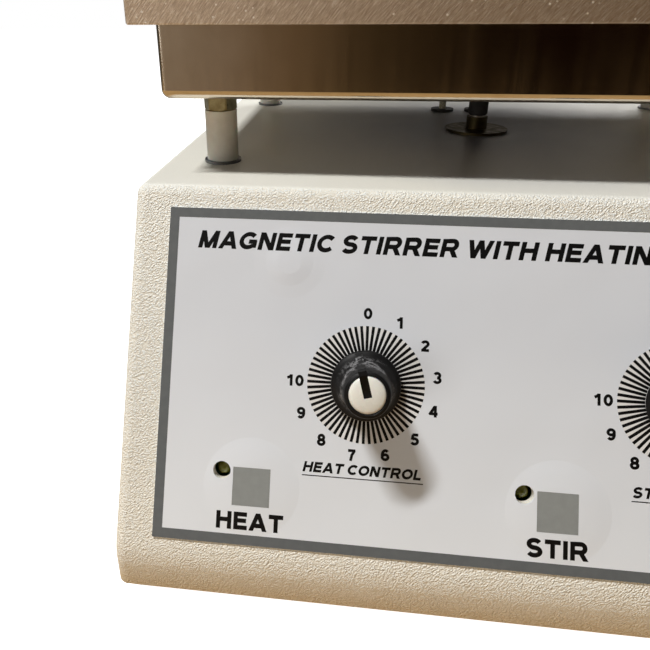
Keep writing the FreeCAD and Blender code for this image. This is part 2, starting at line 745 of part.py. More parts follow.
def make_plate():
    body = new_body("hot_plate")
    outline = new_sketch(body, "plate_outline", "XY_Plane", at(0, SHAFT_Y, PLATE_BOTTOM))
    add_rectangle(outline, 0, 0, d.plate_width, d.plate_depth)
    block = feature(body, "Pad", "plate_block", outline, Length="plate_thickness")
    dress(body, "Chamfer", "plate_bevels", block, range(len(block.Shape.Edges)), Size="plate_bevel")
    holes = new_sketch(body, "plate_stud_holes", "XY_Plane", at(0, 0, PLATE_BOTTOM + d.stud_thread))
    for place in stud_places(0):
        add_circle(holes, place.Base.x, place.Base.y, "stud_diameter / 2")
    feature(body, "Pocket", "plate_stud_cuts", holes, Length="stud_thread + 1")


def make_pan():
    """Folded stainless tray: outside block with soft lower bends, hollowed from the top."""
    body = new_body("heater_pan")
    outline = new_sketch(body, "pan_outline", "XY_Plane", at(0, SHAFT_Y, PAN_BOTTOM))
    add_rectangle(outline, 0, 0, d.pan_width, d.pan_depth)
    block = feature(body, "Pad", "pan_block", outline, Length="pan_height")
    uprights = [i for i, e in enumerate(block.Shape.Edges) if e.BoundBox.ZLength > d.pan_height / 2]
    corners = dress(body, "Fillet", "pan_corners", block, uprights, Radius="pan_corner")
    low = [i for i, e in enumerate(corners.Shape.Edges) if e.BoundBox.ZMax < PAN_BOTTOM + 0.01]
    dress(body, "Fillet", "pan_bends", corners, low, Radius="pan_bend")
    hollow = new_sketch(body, "pan_inside", "XY_Plane", at(0, SHAFT_Y, PLATE_BOTTOM))
    add_rectangle(hollow, 0, 0, d.pan_width - 2 * d.pan_sheet, d.pan_depth - 2 * d.pan_sheet)
    feature(body, "Pocket", "pan_hollow", hollow, Length="pan_height - pan_sheet")
    holes = new_sketch(body, "pan_holes", "XY_Plane", at(0, 0, PAN_BOTTOM + 2 * d.pan_sheet))
    for place in stud_places(0):
        add_circle(holes, place.Base.x, place.Base.y, "stud_clearance / 2")
    add_circle(holes, 0, SHAFT_Y, "pan_hole / 2")
    for side in (-1, 1):
        add_circle(holes, side * d.lead_spacing, SHAFT_Y + d.element_half_depth, "grommet_bore / 2")
    feature(body, "Pocket", "pan_hole_cuts", holes, Length="4 * pan_sheet")


def make_studs():
    """Four threaded studs and, from the case upwards, the washer, spacer, nut and washer on each."""
    low = CEILING - d.thin_washer_thickness - d.nut_thickness - d.stud_diameter / 2
    spacer_length = "air_gap - foot_washer_thickness - nut_thickness - thin_washer_thickness"
    spacer_top = PAN_BOTTOM - d.thin_washer_thickness - d.nut_thickness
    bore = "stud_diameter / 2"
    rows = [
        ("spacer_washers", [d.case_top], lambda n, p: ring(
            n, "foot_washer_diameter / 2", bore, "foot_washer_thickness", p)),
        ("insulating_spacers", [d.case_top + d.foot_washer_thickness], lambda n, p: ring(
            n, "spacer_diameter / 2", bore, spacer_length, p)),
        ("stud_nuts", [spacer_top, CEILING - d.thin_washer_thickness - d.nut_thickness],
         lambda n, p: nut(n, "nut_flats", bore, "nut_thickness", p)),
        ("thin_washers", [PAN_BOTTOM - d.thin_washer_thickness, CEILING - d.thin_washer_thickness],
         lambda n, p: ring(n, "thin_washer_diameter / 2", bore, "thin_washer_thickness", p)),
        ("plate_studs", [low], lambda n, p: cylinder(
            n, "stud_diameter / 2", "pan_height + air_gap + wall + thin_washer_thickness"
            " + nut_thickness + stud_diameter / 2 + stud_thread", p)),
    ]
    for label, levels, make in rows:
        places = [place for z in levels for place in stud_places(z)]
        keep(group(f"{label}_group", [make(f"{label}_{i}", p) for i, p in enumerate(places)]), label)


def make_heater():
    """Tubular element bent into a rounded rectangle under the plate, with clamps and insulation."""
    radius = d.element_diameter / 2
    z = PLATE_BOTTOM - d.element_gap - radius
    straight_x = d.element_half_width - d.element_corner
    straight_y = d.element_half_depth - d.element_corner
    tube = "element_diameter / 2"
    pieces = []
    for side in (-1, 1):
        pieces.append(cylinder(f"element_run_{side + 1}", tube, "2 * (element_half_width - element_corner)",
                               Placement(Vector(-straight_x, SHAFT_Y + side * d.element_half_depth, z),
                                         Rotation(Vector(0, 1, 0), 90))))
        pieces.append(cylinder(f"element_end_{side + 1}", tube, "2 * (element_half_depth - element_corner)",
                               Placement(Vector(side * d.element_half_width, SHAFT_Y - straight_y, z),
                                         ALONG_Y)))
    for quarter in range(4):
        bend = doc.addObject("Part::Torus", f"element_bend_{quarter}")
        bind(bend, Radius1="element_corner", Radius2=tube)
        bend.Angle3 = 90
        sign_x = 1 if quarter in (0, 3) else -1
        sign_y = 1 if quarter in (0, 1) else -1
        bend.Placement = Placement(Vector(sign_x * straight_x, SHAFT_Y + sign_y * straight_y, z),
                                   Rotation(AXIS_Z, 90 * quarter))
        pieces.append(bend)
    keep(fuse("element_tube", pieces), "heating_element")

    clamps = []
    for i, side in enumerate((-1, 1)):
        y = SHAFT_Y + side * d.element_half_depth
        strap = box(f"clamp_{i}_strap", "clamp_width", "element_diameter + 2 * clamp_ear", "clamp_sheet",
                    at(-side * d.element_half_width / 2, y, z - radius - d.element_gap - d.clamp_sheet))
        posts = [box(f"clamp_{i}_post_{j}", "clamp_width", "clamp_ear / 2",
                     "element_diameter + 2 * element_gap",
                     at(-side * d.element_half_width / 2, y + j * (radius + d.clamp_post),
                        z - radius - d.element_gap)) for j in (-1, 1)]
        clamps.append(fuse(f"clamp_{i}", [strap] + posts))
    keep(group("clamps", clamps), "element_clamps")

    board = box("insulation_block", "pan_width - 2 * insulation_margin", "pan_depth - 2 * insulation_margin",
                "insulation_thickness", at(0, SHAFT_Y, PAN_BOTTOM + d.pan_sheet))
    holes = [cylinder(f"insulation_hole_{i}", "stud_clearance / 2", "insulation_thickness", place)
             for i, place in enumerate(stud_places(PAN_BOTTOM + d.pan_sheet))]
    holes.append(cylinder("insulation_window", "insulation_hole / 2", "insulation_thickness",
                          at(0, SHAFT_Y, PAN_BOTTOM + d.pan_sheet)))
    for i, side in enumerate((-1, 1)):
        holes.append(cylinder(f"insulation_lead_{i}", "grommet_bore / 2", "insulation_thickness",
                              at(side * d.lead_spacing, SHAFT_Y + d.element_half_depth,
                                 PAN_BOTTOM + d.pan_sheet)))
    keep(cut("insulation_cut", board, fuse("insulation_holes", holes)), "insulation_board")

    disc = cylinder("cutout_disc", "cutout_diameter / 2", "cutout_height",
                    at(d.cutout_across, SHAFT_Y, PLATE_BOTTOM - d.cutout_height))
    keep(disc, "thermal_cutout")


def make_leads():
    """Two heat-proof leads from the element down through grommets into the case."""
    y = SHAFT_Y + d.element_half_depth
    leads, grommets = [], []
    for i, side in enumerate((-1, 1)):
        x = side * d.lead_spacing
        leads.append(cylinder(f"lead_{i}", "lead_diameter / 2", "case_top + air_gap + pan_height"
                              " - element_diameter - 2 * element_gap - lead_bottom",
                              at(x, y, d.lead_bottom)))
        lips = [cylinder(f"grommet_{i}_low", "grommet_diameter / 2", "grommet_lip",
                         at(x, y, CEILING - d.grommet_lip)),
                cylinder(f"grommet_{i}_high", "grommet_diameter / 2", "grommet_lip", at(x, y, d.case_top)),
                cylinder(f"grommet_{i}_neck", "grommet_groove / 2", "wall", at(x, y, CEILING))]
        bore = cylinder(f"grommet_{i}_bore", "grommet_bore / 2", "wall + 2 * grommet_lip",
                        at(x, y, CEILING - d.grommet_lip))
        grommets.append(cut(f"grommet_{i}", fuse(f"grommet_{i}_solid", lips), bore))
    keep(group("leads", leads), "heater_leads")
    keep(group("grommets", grommets), "lead_grommets")


# ---- stirring drive ---------------------------------------------------------------------------------


def bracket_screw_places(z):
    half_x = d.bracket_width / 2 + d.bracket_foot / 2
    half_y = d.bracket_depth / 2 - d.bracket_foot / 2
    return [at(x, SHAFT_Y + y, z) for x in (-half_x, half_x) for y in (-half_y, half_y)]


def make_motor():
    motor_bottom = d.bracket_top - d.bracket_sheet - d.motor_height
    axis = at(0, SHAFT_Y, motor_bottom)
    can = cylinder("motor_can_outside", "motor_diameter / 2", "motor_height", axis)
    boss = cylinder("motor_can_boss", "motor_boss_diameter / 2", "motor_boss_height",
                    at(0, SHAFT_Y, d.bracket_top - d.bracket_sheet))
    inside = cylinder("motor_can_inside", "motor_diameter / 2 - motor_wall",
                      "motor_height - 2 * motor_wall", at(0, SHAFT_Y, motor_bottom + d.motor_wall))
    bore = cylinder("motor_can_bore", "shaft_bore / 2", "2 * motor_boss_height + motor_wall",
                    at(0, SHAFT_Y, d.bracket_top - d.bracket_sheet - 2 * d.motor_wall))
    keep(cut("motor_can_cut", fuse("motor_can_solid", [can, boss]),
             fuse("motor_can_space", [inside, bore])), "motor_can")
    rotor_z = motor_bottom + (d.motor_height - d.rotor_height) / 2
    keep(ring("rotor_core", "rotor_diameter / 2", "shaft_diameter / 2", "rotor_height",
              at(0, SHAFT_Y, rotor_z)), "motor_rotor")

    low = d.foot_height + d.base_sheet
    web = box("bracket_web", "bracket_width", "bracket_depth", "bracket_sheet",
              at(0, SHAFT_Y, d.bracket_top - d.bracket_sheet))
    legs, feet = [], []
    for i, side in enumerate((-1, 1)):
        legs.append(box(f"bracket_leg_{i}", "bracket_sheet", "bracket_depth",
                        "bracket_top - foot_height - base_sheet",
                        at(side * (d.bracket_width - d.bracket_sheet) / 2, SHAFT_Y, low)))
        feet.append(box(f"bracket_foot_{i}", "bracket_foot + bracket_sheet", "bracket_depth",
                        "bracket_sheet",
                        at(side * (d.bracket_width + d.bracket_foot - d.bracket_sheet) / 2, SHAFT_Y, low)))
    hole = cylinder("bracket_hole", "motor_boss_diameter / 2", "2 * bracket_sheet",
                    at(0, SHAFT_Y, d.bracket_top - d.bracket_sheet))
    screw_holes = [cylinder(f"bracket_screw_hole_{i}", "screw_diameter / 2", "bracket_sheet", place)
                   for i, place in enumerate(bracket_screw_places(low))]
    bracket = fuse("bracket_solid", [web] + legs + feet)
    keep(cut("bracket_cut", bracket, fuse("bracket_holes", [hole] + screw_holes)), "motor_bracket")
    screws = [screw(f"bracket_screw_{i}", place, "base_sheet + bracket_sheet")
              for i, place in enumerate(bracket_screw_places(d.foot_height))]
    screws += [screw(f"core_screw_{i}", at(x, y, d.foot_height), "base_sheet + bracket_sheet")
               for i, (x, y) in enumerate(transformer_screw_points())]
    keep(group("floor_screws_group", screws), "floor_screws")


def make_drive():
    """Shaft, seal round it, hub under the pan and the carrier with its two magnets in the pan."""
    magnet_top = PLATE_BOTTOM - d.magnet_gap
    carrier_bottom = magnet_top - d.magnet_height - d.carrier_thickness
    magnet_seat = "case_top + air_gap + pan_height - magnet_gap - magnet_height"
    keep(cylinder("shaft_rod", "shaft_diameter / 2", f"{magnet_seat} - shaft_bottom",
                  at(0, SHAFT_Y, d.shaft_bottom)), "drive_shaft")
    seal = fuse("seal_solid", [
        cylinder("seal_flange", "seal_flange_diameter / 2", "seal_flange_thickness",
                 at(0, SHAFT_Y, d.case_top)),
        cylinder("seal_tube", "seal_diameter / 2", "seal_height + wall", at(0, SHAFT_Y, CEILING))])
    bore = cylinder("seal_bore", "shaft_bore / 2", "seal_height + wall", at(0, SHAFT_Y, CEILING))
    keep(cut("seal_cut", seal, bore), "shaft_bearing")
    hub = cylinder("hub_solid", "hub_diameter / 2", f"{magnet_seat} - carrier_thickness - hub_bottom",
                   at(0, SHAFT_Y, d.hub_bottom))
    hub_bore = cylinder("hub_bore", "shaft_diameter / 2", "air_gap + pan_height",
                        at(0, SHAFT_Y, d.hub_bottom))
    rounded = doc.addObject("Part::Fillet", "hub_rounded")
    doc.recompute()
    rounded.Base = hub
    rounded.Edges = [(i + 1, d.hub_bend, d.hub_bend) for i in rims(hub.Shape)
                     if hub.Shape.Edges[i].BoundBox.ZMax < d.hub_bottom + 1]
    keep(cut("hub_cut", rounded, hub_bore), "shaft_hub")
    keep(ring("carrier_disc", "carrier_diameter / 2", "shaft_diameter / 2", "carrier_thickness",
              at(0, SHAFT_Y, carrier_bottom)), "magnet_carrier")
    magnets = [cylinder(f"magnet_{i}", "magnet_diameter / 2", "magnet_height",
                        at(side * d.magnet_radius, SHAFT_Y, magnet_top - d.magnet_height))
               for i, side in enumerate((-1, 1))]
    keep(group("magnets", magnets), "drive_magnets")


# ---- supply parts -----------------------------------------------------------------------------------


def board_corners(z):
    half_x = d.board_length / 2 - d.spacer_pin_diameter
    half_y = d.board_width / 2 - d.spacer_pin_diameter
    return [at(d.board_x + x, d.board_y + y, z) for x in (-half_x, half_x) for y in (-half_y, half_y)]


def transformer_screw_points():
    return [(d.core_x + side * (d.core_length / 2 + d.spacer_pin_diameter), d.core_y) for side in (-1, 1)]


def make_supply():
    floor = d.foot_height + d.base_sheet
    board_z = floor + d.board_lift
    hole = "screw_diameter / 2"
    board = box("board_blank", "board_length", "board_width", "board_thickness",
                at(d.board_x, d.board_y, board_z))
    holes = [cylinder(f"board_hole_{i}", hole, "board_thickness", place)
             for i, place in enumerate(board_corners(board_z))]
    keep(cut("board_cut", board, fuse("board_holes", holes)), "control_board")
    pillars = [ring(f"pillar_{i}", "spacer_pin_diameter / 2", hole, "board_lift", place)
               for i, place in enumerate(board_corners(floor))]
    keep(group("pillars", pillars), "board_pillars")
    screws = [screw(f"pillar_screw_{i}", place, "base_sheet + board_lift + board_thickness")
              for i, place in enumerate(board_corners(d.foot_height))]
    keep(group("pillar_screws", screws), "board_screws")

    make_board_parts(board_z + d.board_thickness)
    make_transformer(floor, hole)


def make_board_parts(z):
    """Finned heat sink, capacitor and screw terminals that stand on the control board."""
    x = d.board_x + d.heatsink_across
    fins = [box(f"fin_{i}", "fin_thickness", "fin_depth", "fin_height",
                at(x + (i - (d.fin_count - 1) / 2) * d.fin_pitch, d.board_y, z + d.fin_root))
            for i in range(int(d.fin_count))]
    root = box("fin_root_plate", "(fin_count - 1) * fin_pitch + fin_thickness", "fin_depth", "fin_root",
               at(x, d.board_y, z))
    keep(fuse("heatsink_solid", fins + [root]), "triac_heatsink")
    can = cylinder("capacitor_can", "capacitor_diameter / 2", "capacitor_height",
                   at(d.board_x + d.capacitor_across, d.board_y + d.capacitor_back, z))
    keep(can, "smoothing_capacitor")
    x, y = d.board_x + d.terminal_across, d.board_y - d.terminal_front
    terminals = box("terminal_block_solid", "terminal_length", "terminal_width", "terminal_height",
                    at(x, y, z))
    wells = [cylinder(f"terminal_well_{i}", "terminal_well / 2", "terminal_well_depth",
                      at(x + (i - (d.terminal_count - 1) / 2) * d.terminal_pitch, y,
                         z + d.terminal_height - d.terminal_well_depth))
             for i in range(int(d.terminal_count))]
    keep(cut("terminal_block_cut", terminals, fuse("terminal_wells", wells)), "terminal_block")


def make_transformer(floor, hole):
    """Laminated core with a middle limb, the coil round that limb and the strap that holds them."""
    stack = at(d.core_x, d.core_y, floor + d.strap_thickness)
    window_place = stack.multiply(at(0, 0, (d.core_height - d.coil_height) / 2))
    core = box("core_stack", "core_length", "core_width", "core_height", stack)
    opening = box("core_opening", "coil_length", "2 * core_width", "coil_height", window_place)
    limb = box("core_middle", "coil_length / 2", "core_width", "coil_height", window_place)
    keep(fuse("core_solid", [cut("core_windowed", core, opening), limb]), "transformer_core")
    coil = box("coil_block", "coil_length", "coil_width", "coil_height", window_place)
    coil_hole = box("coil_hole", "coil_length / 2", "core_width", "coil_height", window_place)
    keep(cut("coil_cut", coil, coil_hole), "transformer_coil")
    strap = box("strap_plate", "core_length + 4 * spacer_pin_diameter", "strap_width", "strap_thickness",
                at(d.core_x, d.core_y, floor))
    strap_holes = [cylinder(f"strap_hole_{i}", hole, "strap_thickness", at(x, y, floor))
                   for i, (x, y) in enumerate(transformer_screw_points())]
    keep(cut("strap_cut", strap, fuse("strap_holes", strap_holes)), "transformer_foot")


def on_back(across, up, outwards):
    """Placement on the back wall: local Z runs outwards, X runs right as seen from the front."""
    return Placement(Vector(across, BACK + outwards, up), ALONG_Y)


def make_inlet():
    x, z = -d.inlet_across, d.inlet_up
    flange = box("inlet_flange", "inlet_flange_width", "inlet_flange_height", "inlet_flange_thickness",
                 on_back(x, z, 0))
    block = box("inlet_block", "inlet_body_width", "inlet_body_height", "inlet_body_depth",
                on_back(x, z, -d.inlet_body_depth))
    socket = box("inlet_socket", "inlet_socket_width", "inlet_socket_height", "inlet_socket_depth",
                 on_back(x, z, d.inlet_flange_thickness - d.inlet_socket_depth))
    screw_holes = [cylinder(f"inlet_hole_{i}", "screw_diameter / 2", "inlet_flange_thickness",
                            on_back(x + side * d.inlet_screw_spacing / 2, z, 0))
                   for i, side in enumerate((-1, 1))]
    keep(cut("inlet_cut", fuse("inlet_solid", [flange, block]), fuse("inlet_space", [socket] + screw_holes)),
         "power_inlet")
    seat = d.inlet_flange_thickness - d.inlet_socket_depth
    pins = [box(f"inlet_pin_{i}", "pin_thickness", "pin_width", "pin_length",
                on_back(x + side * d.pin_spread, z + level * d.pin_rise, seat))
            for i, (side, level) in enumerate(((-1, -1), (1, -1), (0, 1)))]
    keep(group("inlet_pins", pins), "inlet_contacts")
    screws = []
    for i, side in enumerate((-1, 1)):
        place = Placement(Vector(x + side * d.inlet_screw_spacing / 2, BACK + d.inlet_flange_thickness, z),
                          Rotation(AXIS_X, 90))
        screws.append(screw(f"inlet_screw_{i}", place, "inlet_flange_thickness + 2 * wall"))
    keep(group("inlet_screws_group", screws), "inlet_screws")
    fuse_x = -d.fuse_across
    cap = cylinder("fuse_cap", "fuse_cap_diameter / 2", "rear_overhang", on_back(fuse_x, z, 0))
    slot = box("fuse_slot_cut", "fuse_cap_diameter", "fuse_slot", "fuse_slot",
               on_back(fuse_x, z, d.rear_overhang - d.fuse_slot))
    barrel = cylinder("fuse_barrel", "fuse_body_diameter / 2", "fuse_body_depth",
                      on_back(fuse_x, z, -d.fuse_body_depth))
    keep(cut("fuse_cut", fuse("fuse_solid", [cap, barrel]), slot), "fuse_holder")


# ---- build, check and write -------------------------------------------------------------------------


def check_document():
    doc.recompute()
    failed = [o.Name for o in doc.Objects if "Invalid" in o.State or "Error" in o.State]
    if failed:
        raise RuntimeError(f"failed objects: {failed}")
    for obj in subparts:
        if obj.Shape.isNull() or not obj.Shape.isValid() or obj.Shape.Volume <= 0:
            raise RuntimeError(f"bad shape: {obj.Label}")


def write_parts():
    os.makedirs("parts", exist_ok=True)
    for obj in subparts:
        obj.Shape.exportStep(f"parts/{obj.Label}.step")
        print(f"{obj.Label}: {len(obj.Shape.Solids)} solids, {obj.Shape.Volume:.0f} mm3")


def main():
    make_case()
    make_base()
    make_front_film()
    switches, pots, washers, nuts = [], [], [], []
    for index, name in enumerate(GROUPS):
        switches.append(make_key(name, index))
        make_lamp(name, index)
        body, washer, fixing = make_potentiometer(name, index)
        pots.append(body)
        washers.append(washer)
        nuts.append(fixing)
        make_knob(name, index)
    keep(group("switch_group", switches), "push_switches")
    keep(group("pot_group", pots), "potentiometers")
    keep(group("pot_washer_group", washers), "pot_washers")
    keep(group("pot_nut_group", nuts), "pot_nuts")
    make_front_board()
    make_plate()
    make_pan()
    make_studs()
    make_heater()
    make_leads()
    make_motor()
    make_drive()
    make_supply()
    make_inlet()
    check_document()
    write_parts()


main()
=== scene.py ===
import json
import math

import bmesh
import bpy
from mathutils import Euler, Matrix, Vector
from mathutils.geometry import delaunay_2d_cdt


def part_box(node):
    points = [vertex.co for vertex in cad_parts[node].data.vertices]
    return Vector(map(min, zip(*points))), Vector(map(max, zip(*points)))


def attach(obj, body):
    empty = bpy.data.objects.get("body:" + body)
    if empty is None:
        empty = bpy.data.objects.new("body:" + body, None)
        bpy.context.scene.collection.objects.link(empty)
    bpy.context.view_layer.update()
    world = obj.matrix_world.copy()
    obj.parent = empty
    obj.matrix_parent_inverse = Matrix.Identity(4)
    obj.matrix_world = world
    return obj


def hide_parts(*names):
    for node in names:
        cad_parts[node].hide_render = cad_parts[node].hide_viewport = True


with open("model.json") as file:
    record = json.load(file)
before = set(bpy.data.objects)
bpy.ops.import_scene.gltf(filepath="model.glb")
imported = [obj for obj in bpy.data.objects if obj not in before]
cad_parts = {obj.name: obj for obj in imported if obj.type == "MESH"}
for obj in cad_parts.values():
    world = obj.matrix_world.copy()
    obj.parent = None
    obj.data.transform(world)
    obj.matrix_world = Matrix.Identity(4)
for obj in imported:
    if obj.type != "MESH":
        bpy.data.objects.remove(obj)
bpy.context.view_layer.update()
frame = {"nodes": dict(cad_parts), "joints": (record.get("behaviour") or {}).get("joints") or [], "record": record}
MM = 0.001
HOUSING = "housing"


# ---- places -----------------------------------------------------------------------------------------

FILM_THICKNESS = 0.5 * MM
FILM_LOW, FILM_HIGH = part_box("front_film")
JOINTS = {joint["name"]: joint for joint in frame["joints"]}
INWARD = Vector(JOINTS["heat_knob_turn"]["axis"]).normalized()
OUTWARD = -INWARD
ACROSS = Vector((1, 0, 0))
UPHILL = OUTWARD.cross(ACROSS)
PANEL_FOOT = Vector((0, FILM_LOW.y, FILM_LOW.z + FILM_THICKNESS * OUTWARD.z))
FILM_WIDTH = FILM_HIGH.x - FILM_LOW.x
FILM_HEIGHT = (FILM_HIGH.z - FILM_LOW.z - FILM_THICKNESS * OUTWARD.z) / UPHILL.z
CONTROLS = ("heat", "stir")


def panel_matrix(across, up, outwards=0.0, turn=0.0):
    """Frame on the film's outer face: local X runs right, Y up the slope, Z outwards."""
    base = Matrix((ACROSS, UPHILL, OUTWARD)).transposed().to_4x4()
    base.translation = PANEL_FOOT + ACROSS * across + UPHILL * up + OUTWARD * outwards
    return base @ Matrix.Rotation(turn, 4, "Z")


def on_panel(point):
    """Distance across and up the panel of a point of the frame."""
    offset = Vector(point) - PANEL_FOOT
    return offset.dot(ACROSS), offset.dot(UPHILL)


def middle(node):
    low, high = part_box(node)
    return (low + high) / 2


def knob_place(name):
    """Distance across and up the panel of a knob's axis."""
    return on_panel(JOINTS[f"{name}_knob_turn"]["pos_m"])


# ---- mesh tools -------------------------------------------------------------------------------------

FULL_TURN = 2 * math.pi
TINY = 1e-7
LATHE_SIDES = 96
UNMOVED = Matrix.Identity(4)


def mesh_object(name, bm):
    """Turn a bmesh into an object of the scene, with the bmesh used up."""
    bmesh.ops.recalc_face_normals(bm, faces=bm.faces)
    mesh = bpy.data.meshes.new(name)
    bm.to_mesh(mesh)
    bm.free()
    obj = bpy.data.objects.new(name, mesh)
    bpy.context.scene.collection.objects.link(obj)
    return obj


def piece(name, bm, body, material, smooth, place=UNMOVED):
    """Turn a bmesh into a piece that rides on a body, in the frame's metres or in its own place.

    Edges sharper than the angle smooth, in degrees, stay sharp.
    """
    obj = mesh_object(name, bm)
    mesh = obj.data
    mesh.polygons.foreach_set("use_smooth", [True] * len(mesh.polygons))
    mesh.set_sharp_from_angle(angle=math.radians(smooth))
    mesh.materials.append(material)
    obj.matrix_world = place
    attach(obj, body)
    return obj


def scaled(profile):
    return [(radius * MM, height * MM) for radius, height in profile]


def arc_points(radius, start, end, steps):
    """Points on an arc about the origin, angles in degrees, both ends included."""
    angles = [math.radians(start + (end - start) * i / steps) for i in range(steps + 1)]
    return [(radius * math.cos(angle), radius * math.sin(angle)) for angle in angles]


def lathe(profile):
    """Turn a profile of (radius, height) points, in millimetres, about the Z axis."""
    bm = bmesh.new()
    rings = []
    for radius, height in scaled(profile):
        if radius < TINY:
            rings.append([bm.verts.new((0, 0, height))])
            continue
        rings.append([bm.verts.new((radius * math.cos(a), radius * math.sin(a), height))
                      for a in (FULL_TURN * i / LATHE_SIDES for i in range(LATHE_SIDES))])
    for lower, upper in zip(rings, rings[1:]):
        for i in range(LATHE_SIDES):
            j = (i + 1) % LATHE_SIDES
            corners = [lower[i % len(lower)], lower[j % len(lower)],
                       upper[j % len(upper)], upper[i % len(upper)]]
            unique = list(dict.fromkeys(corners))
            if len(unique) > 2:
                bm.faces.new(unique)
    return bm


def slab(outline, low, high, matrix=UNMOVED):
    """Upright block with a flat outline of (x, y) points, from low to high along local Z."""
    bm = bmesh.new()
    floor = [bm.verts.new(matrix @ Vector((x, y, low))) for x, y in outline]
    roof = [bm.verts.new(matrix @ Vector((x, y, high))) for x, y in outline]
    bm.faces.new(list(reversed(floor)))
    bm.faces.new(roof)
    for i in range(len(outline)):
        j = (i + 1) % len(outline)
        bm.faces.new((floor[i], floor[j], roof[j], roof[i]))
    return bm


def rectangle(x, y, width, height):
    return [(x - width / 2, y - height / 2), (x + width / 2, y - height / 2),
            (x + width / 2, y + height / 2), (x - width / 2, y + height / 2)]


# ---- material tools ---------------------------------------------------------------------------------


def linear(red, green, blue):
    """Colour given as it looks on a screen, 0 to 255, as the shader's own numbers."""
    levels = [value / 255 for value in (red, green, blue)]
    return tuple(level / 12.92 if level <= 0.04045 else ((level + 0.055) / 1.055) ** 2.4
                 for level in levels) + (1.0,)


def grey(level):
    """One level as a neutral colour of four numbers, for a shader, a ramp or a mix."""
    return (level, level, level, 1.0)


# A Mix node has a set of sockets for each data type. These are the ones for colours.
MIX_COLOUR_INPUTS = (0, 6, 7)
MIX_COLOUR_OUTPUT = 2


class Nodes:
    """Short way to write a node tree round one Principled shader."""

    def __init__(self, name):
        self.material = bpy.data.materials.new(name)
        self.material.use_nodes = True
        self.tree = self.material.node_tree
        self.shader = self.tree.nodes["Principled BSDF"]
        self.place = self.add("ShaderNodeTexCoord").outputs["Object"]

    def add(self, kind, **values):
        node = self.tree.nodes.new(kind)
        for key, value in values.items():
            setattr(node, key, value)
        return node

    def link(self, source, target):
        self.tree.links.new(source, target)

    def feed(self, socket, value):
        """Link an output to a socket, or give the socket a plain value."""
        if hasattr(value, "links"):
            self.link(value, socket)
        else:
            socket.default_value = value

    def mapped(self, kind, **values):
        """Object coordinates through a Mapping node of one kind."""
        node = self.add("ShaderNodeMapping", vector_type=kind)
        for name, value in values.items():
            node.inputs[name].default_value = value
        self.link(self.place, node.inputs["Vector"])
        return node.outputs["Vector"]

    def stretched(self, scale):
        """Object coordinates scaled along each axis, for grain that runs one way."""
        return self.mapped("POINT", Scale=scale)

    def turned(self, rotation, stretch):
        """Object coordinates for grain that is stretched along turned axes."""
        return self.mapped("TEXTURE", Rotation=rotation, Scale=stretch)

    def along(self, vector, axis):
        node = self.add("ShaderNodeSeparateXYZ")
        self.link(vector, node.inputs["Vector"])
        return node.outputs[axis]

    def coordinate(self, axis):
        return self.along(self.place, axis)

    def facing(self, axis):
        """How far the surface, without its bumps, faces along an axis."""
        return self.along(self.add("ShaderNodeNewGeometry").outputs["Normal"], axis)

    def distance(self, point):
        node = self.add("ShaderNodeVectorMath", operation="DISTANCE")
        self.link(self.place, node.inputs[0])
        node.inputs[1].default_value = point
        return node.outputs["Value"]

    def noise(self, scale, detail=3.0, rough=0.5, vector=None):
        node = self.add("ShaderNodeTexNoise")
        node.inputs["Scale"].default_value = scale
        node.inputs["Detail"].default_value = detail
        node.inputs["Roughness"].default_value = rough
        self.link(vector or self.place, node.inputs["Vector"])
        return node.outputs["Fac"]

    def cells(self, scale, vector=None):
        node = self.add("ShaderNodeTexVoronoi")
        node.inputs["Scale"].default_value = scale
        self.link(vector or self.place, node.inputs["Vector"])
        return node.outputs["Distance"]

    def ramp(self, source, stops):
        node = self.add("ShaderNodeValToRGB")
        elements = node.color_ramp.elements
        while len(elements) < len(stops):
            elements.new(0.5)
        for element, (position, colour) in zip(elements, stops):
            element.position = position
            element.color = colour if hasattr(colour, "__len__") else grey(colour)
        self.link(source, node.inputs["Fac"])
        return node.outputs["Color"]

    def math(self, operation, first, second):
        node = self.add("ShaderNodeMath", operation=operation)
        self.feed(node.inputs[0], first)
        self.feed(node.inputs[1], second)
        return node.outputs["Value"]

    def add_up(self, first, second):
        return self.math("ADD", first, second)

    def times(self, first, second):
        return self.math("MULTIPLY", first, second)

    def mix(self, amount, first, second):
        """Blend from first to second as the amount goes from 0 to 1. Plain colours have four numbers."""
        node = self.add("ShaderNodeMix", data_type="RGBA")
        for index, value in zip(MIX_COLOUR_INPUTS, (amount, first, second)):
            self.feed(node.inputs[index], value)
        return node.outputs[MIX_COLOUR_OUTPUT]

    def bump(self, height, strength, distance, below=None):
        """Bumps of a height map, laid over other bumps if they are given."""
        node = self.add("ShaderNodeBump")
        node.inputs["Strength"].default_value = strength
        node.inputs["Distance"].default_value = distance
        self.link(height, node.inputs["Height"])
        if below is not None:
            self.link(below, node.inputs["Normal"])
        return node.outputs["Normal"]

    def finish(self, color, roughness, normal=None, **others):
        """Feed the shader. Others name its sockets with underscores, such as Coat_Weight."""
        self.feed(self.shader.inputs["Base Color"], color)
        self.feed(self.shader.inputs["Roughness"], roughness)
        if normal is not None:
            self.feed(self.shader.inputs["Normal"], normal)
        for name, value in others.items():
            self.feed(self.shader.inputs[name.replace("_", " ")], value)
        return self.material


# ---- materials --------------------------------------------------------------------------------------


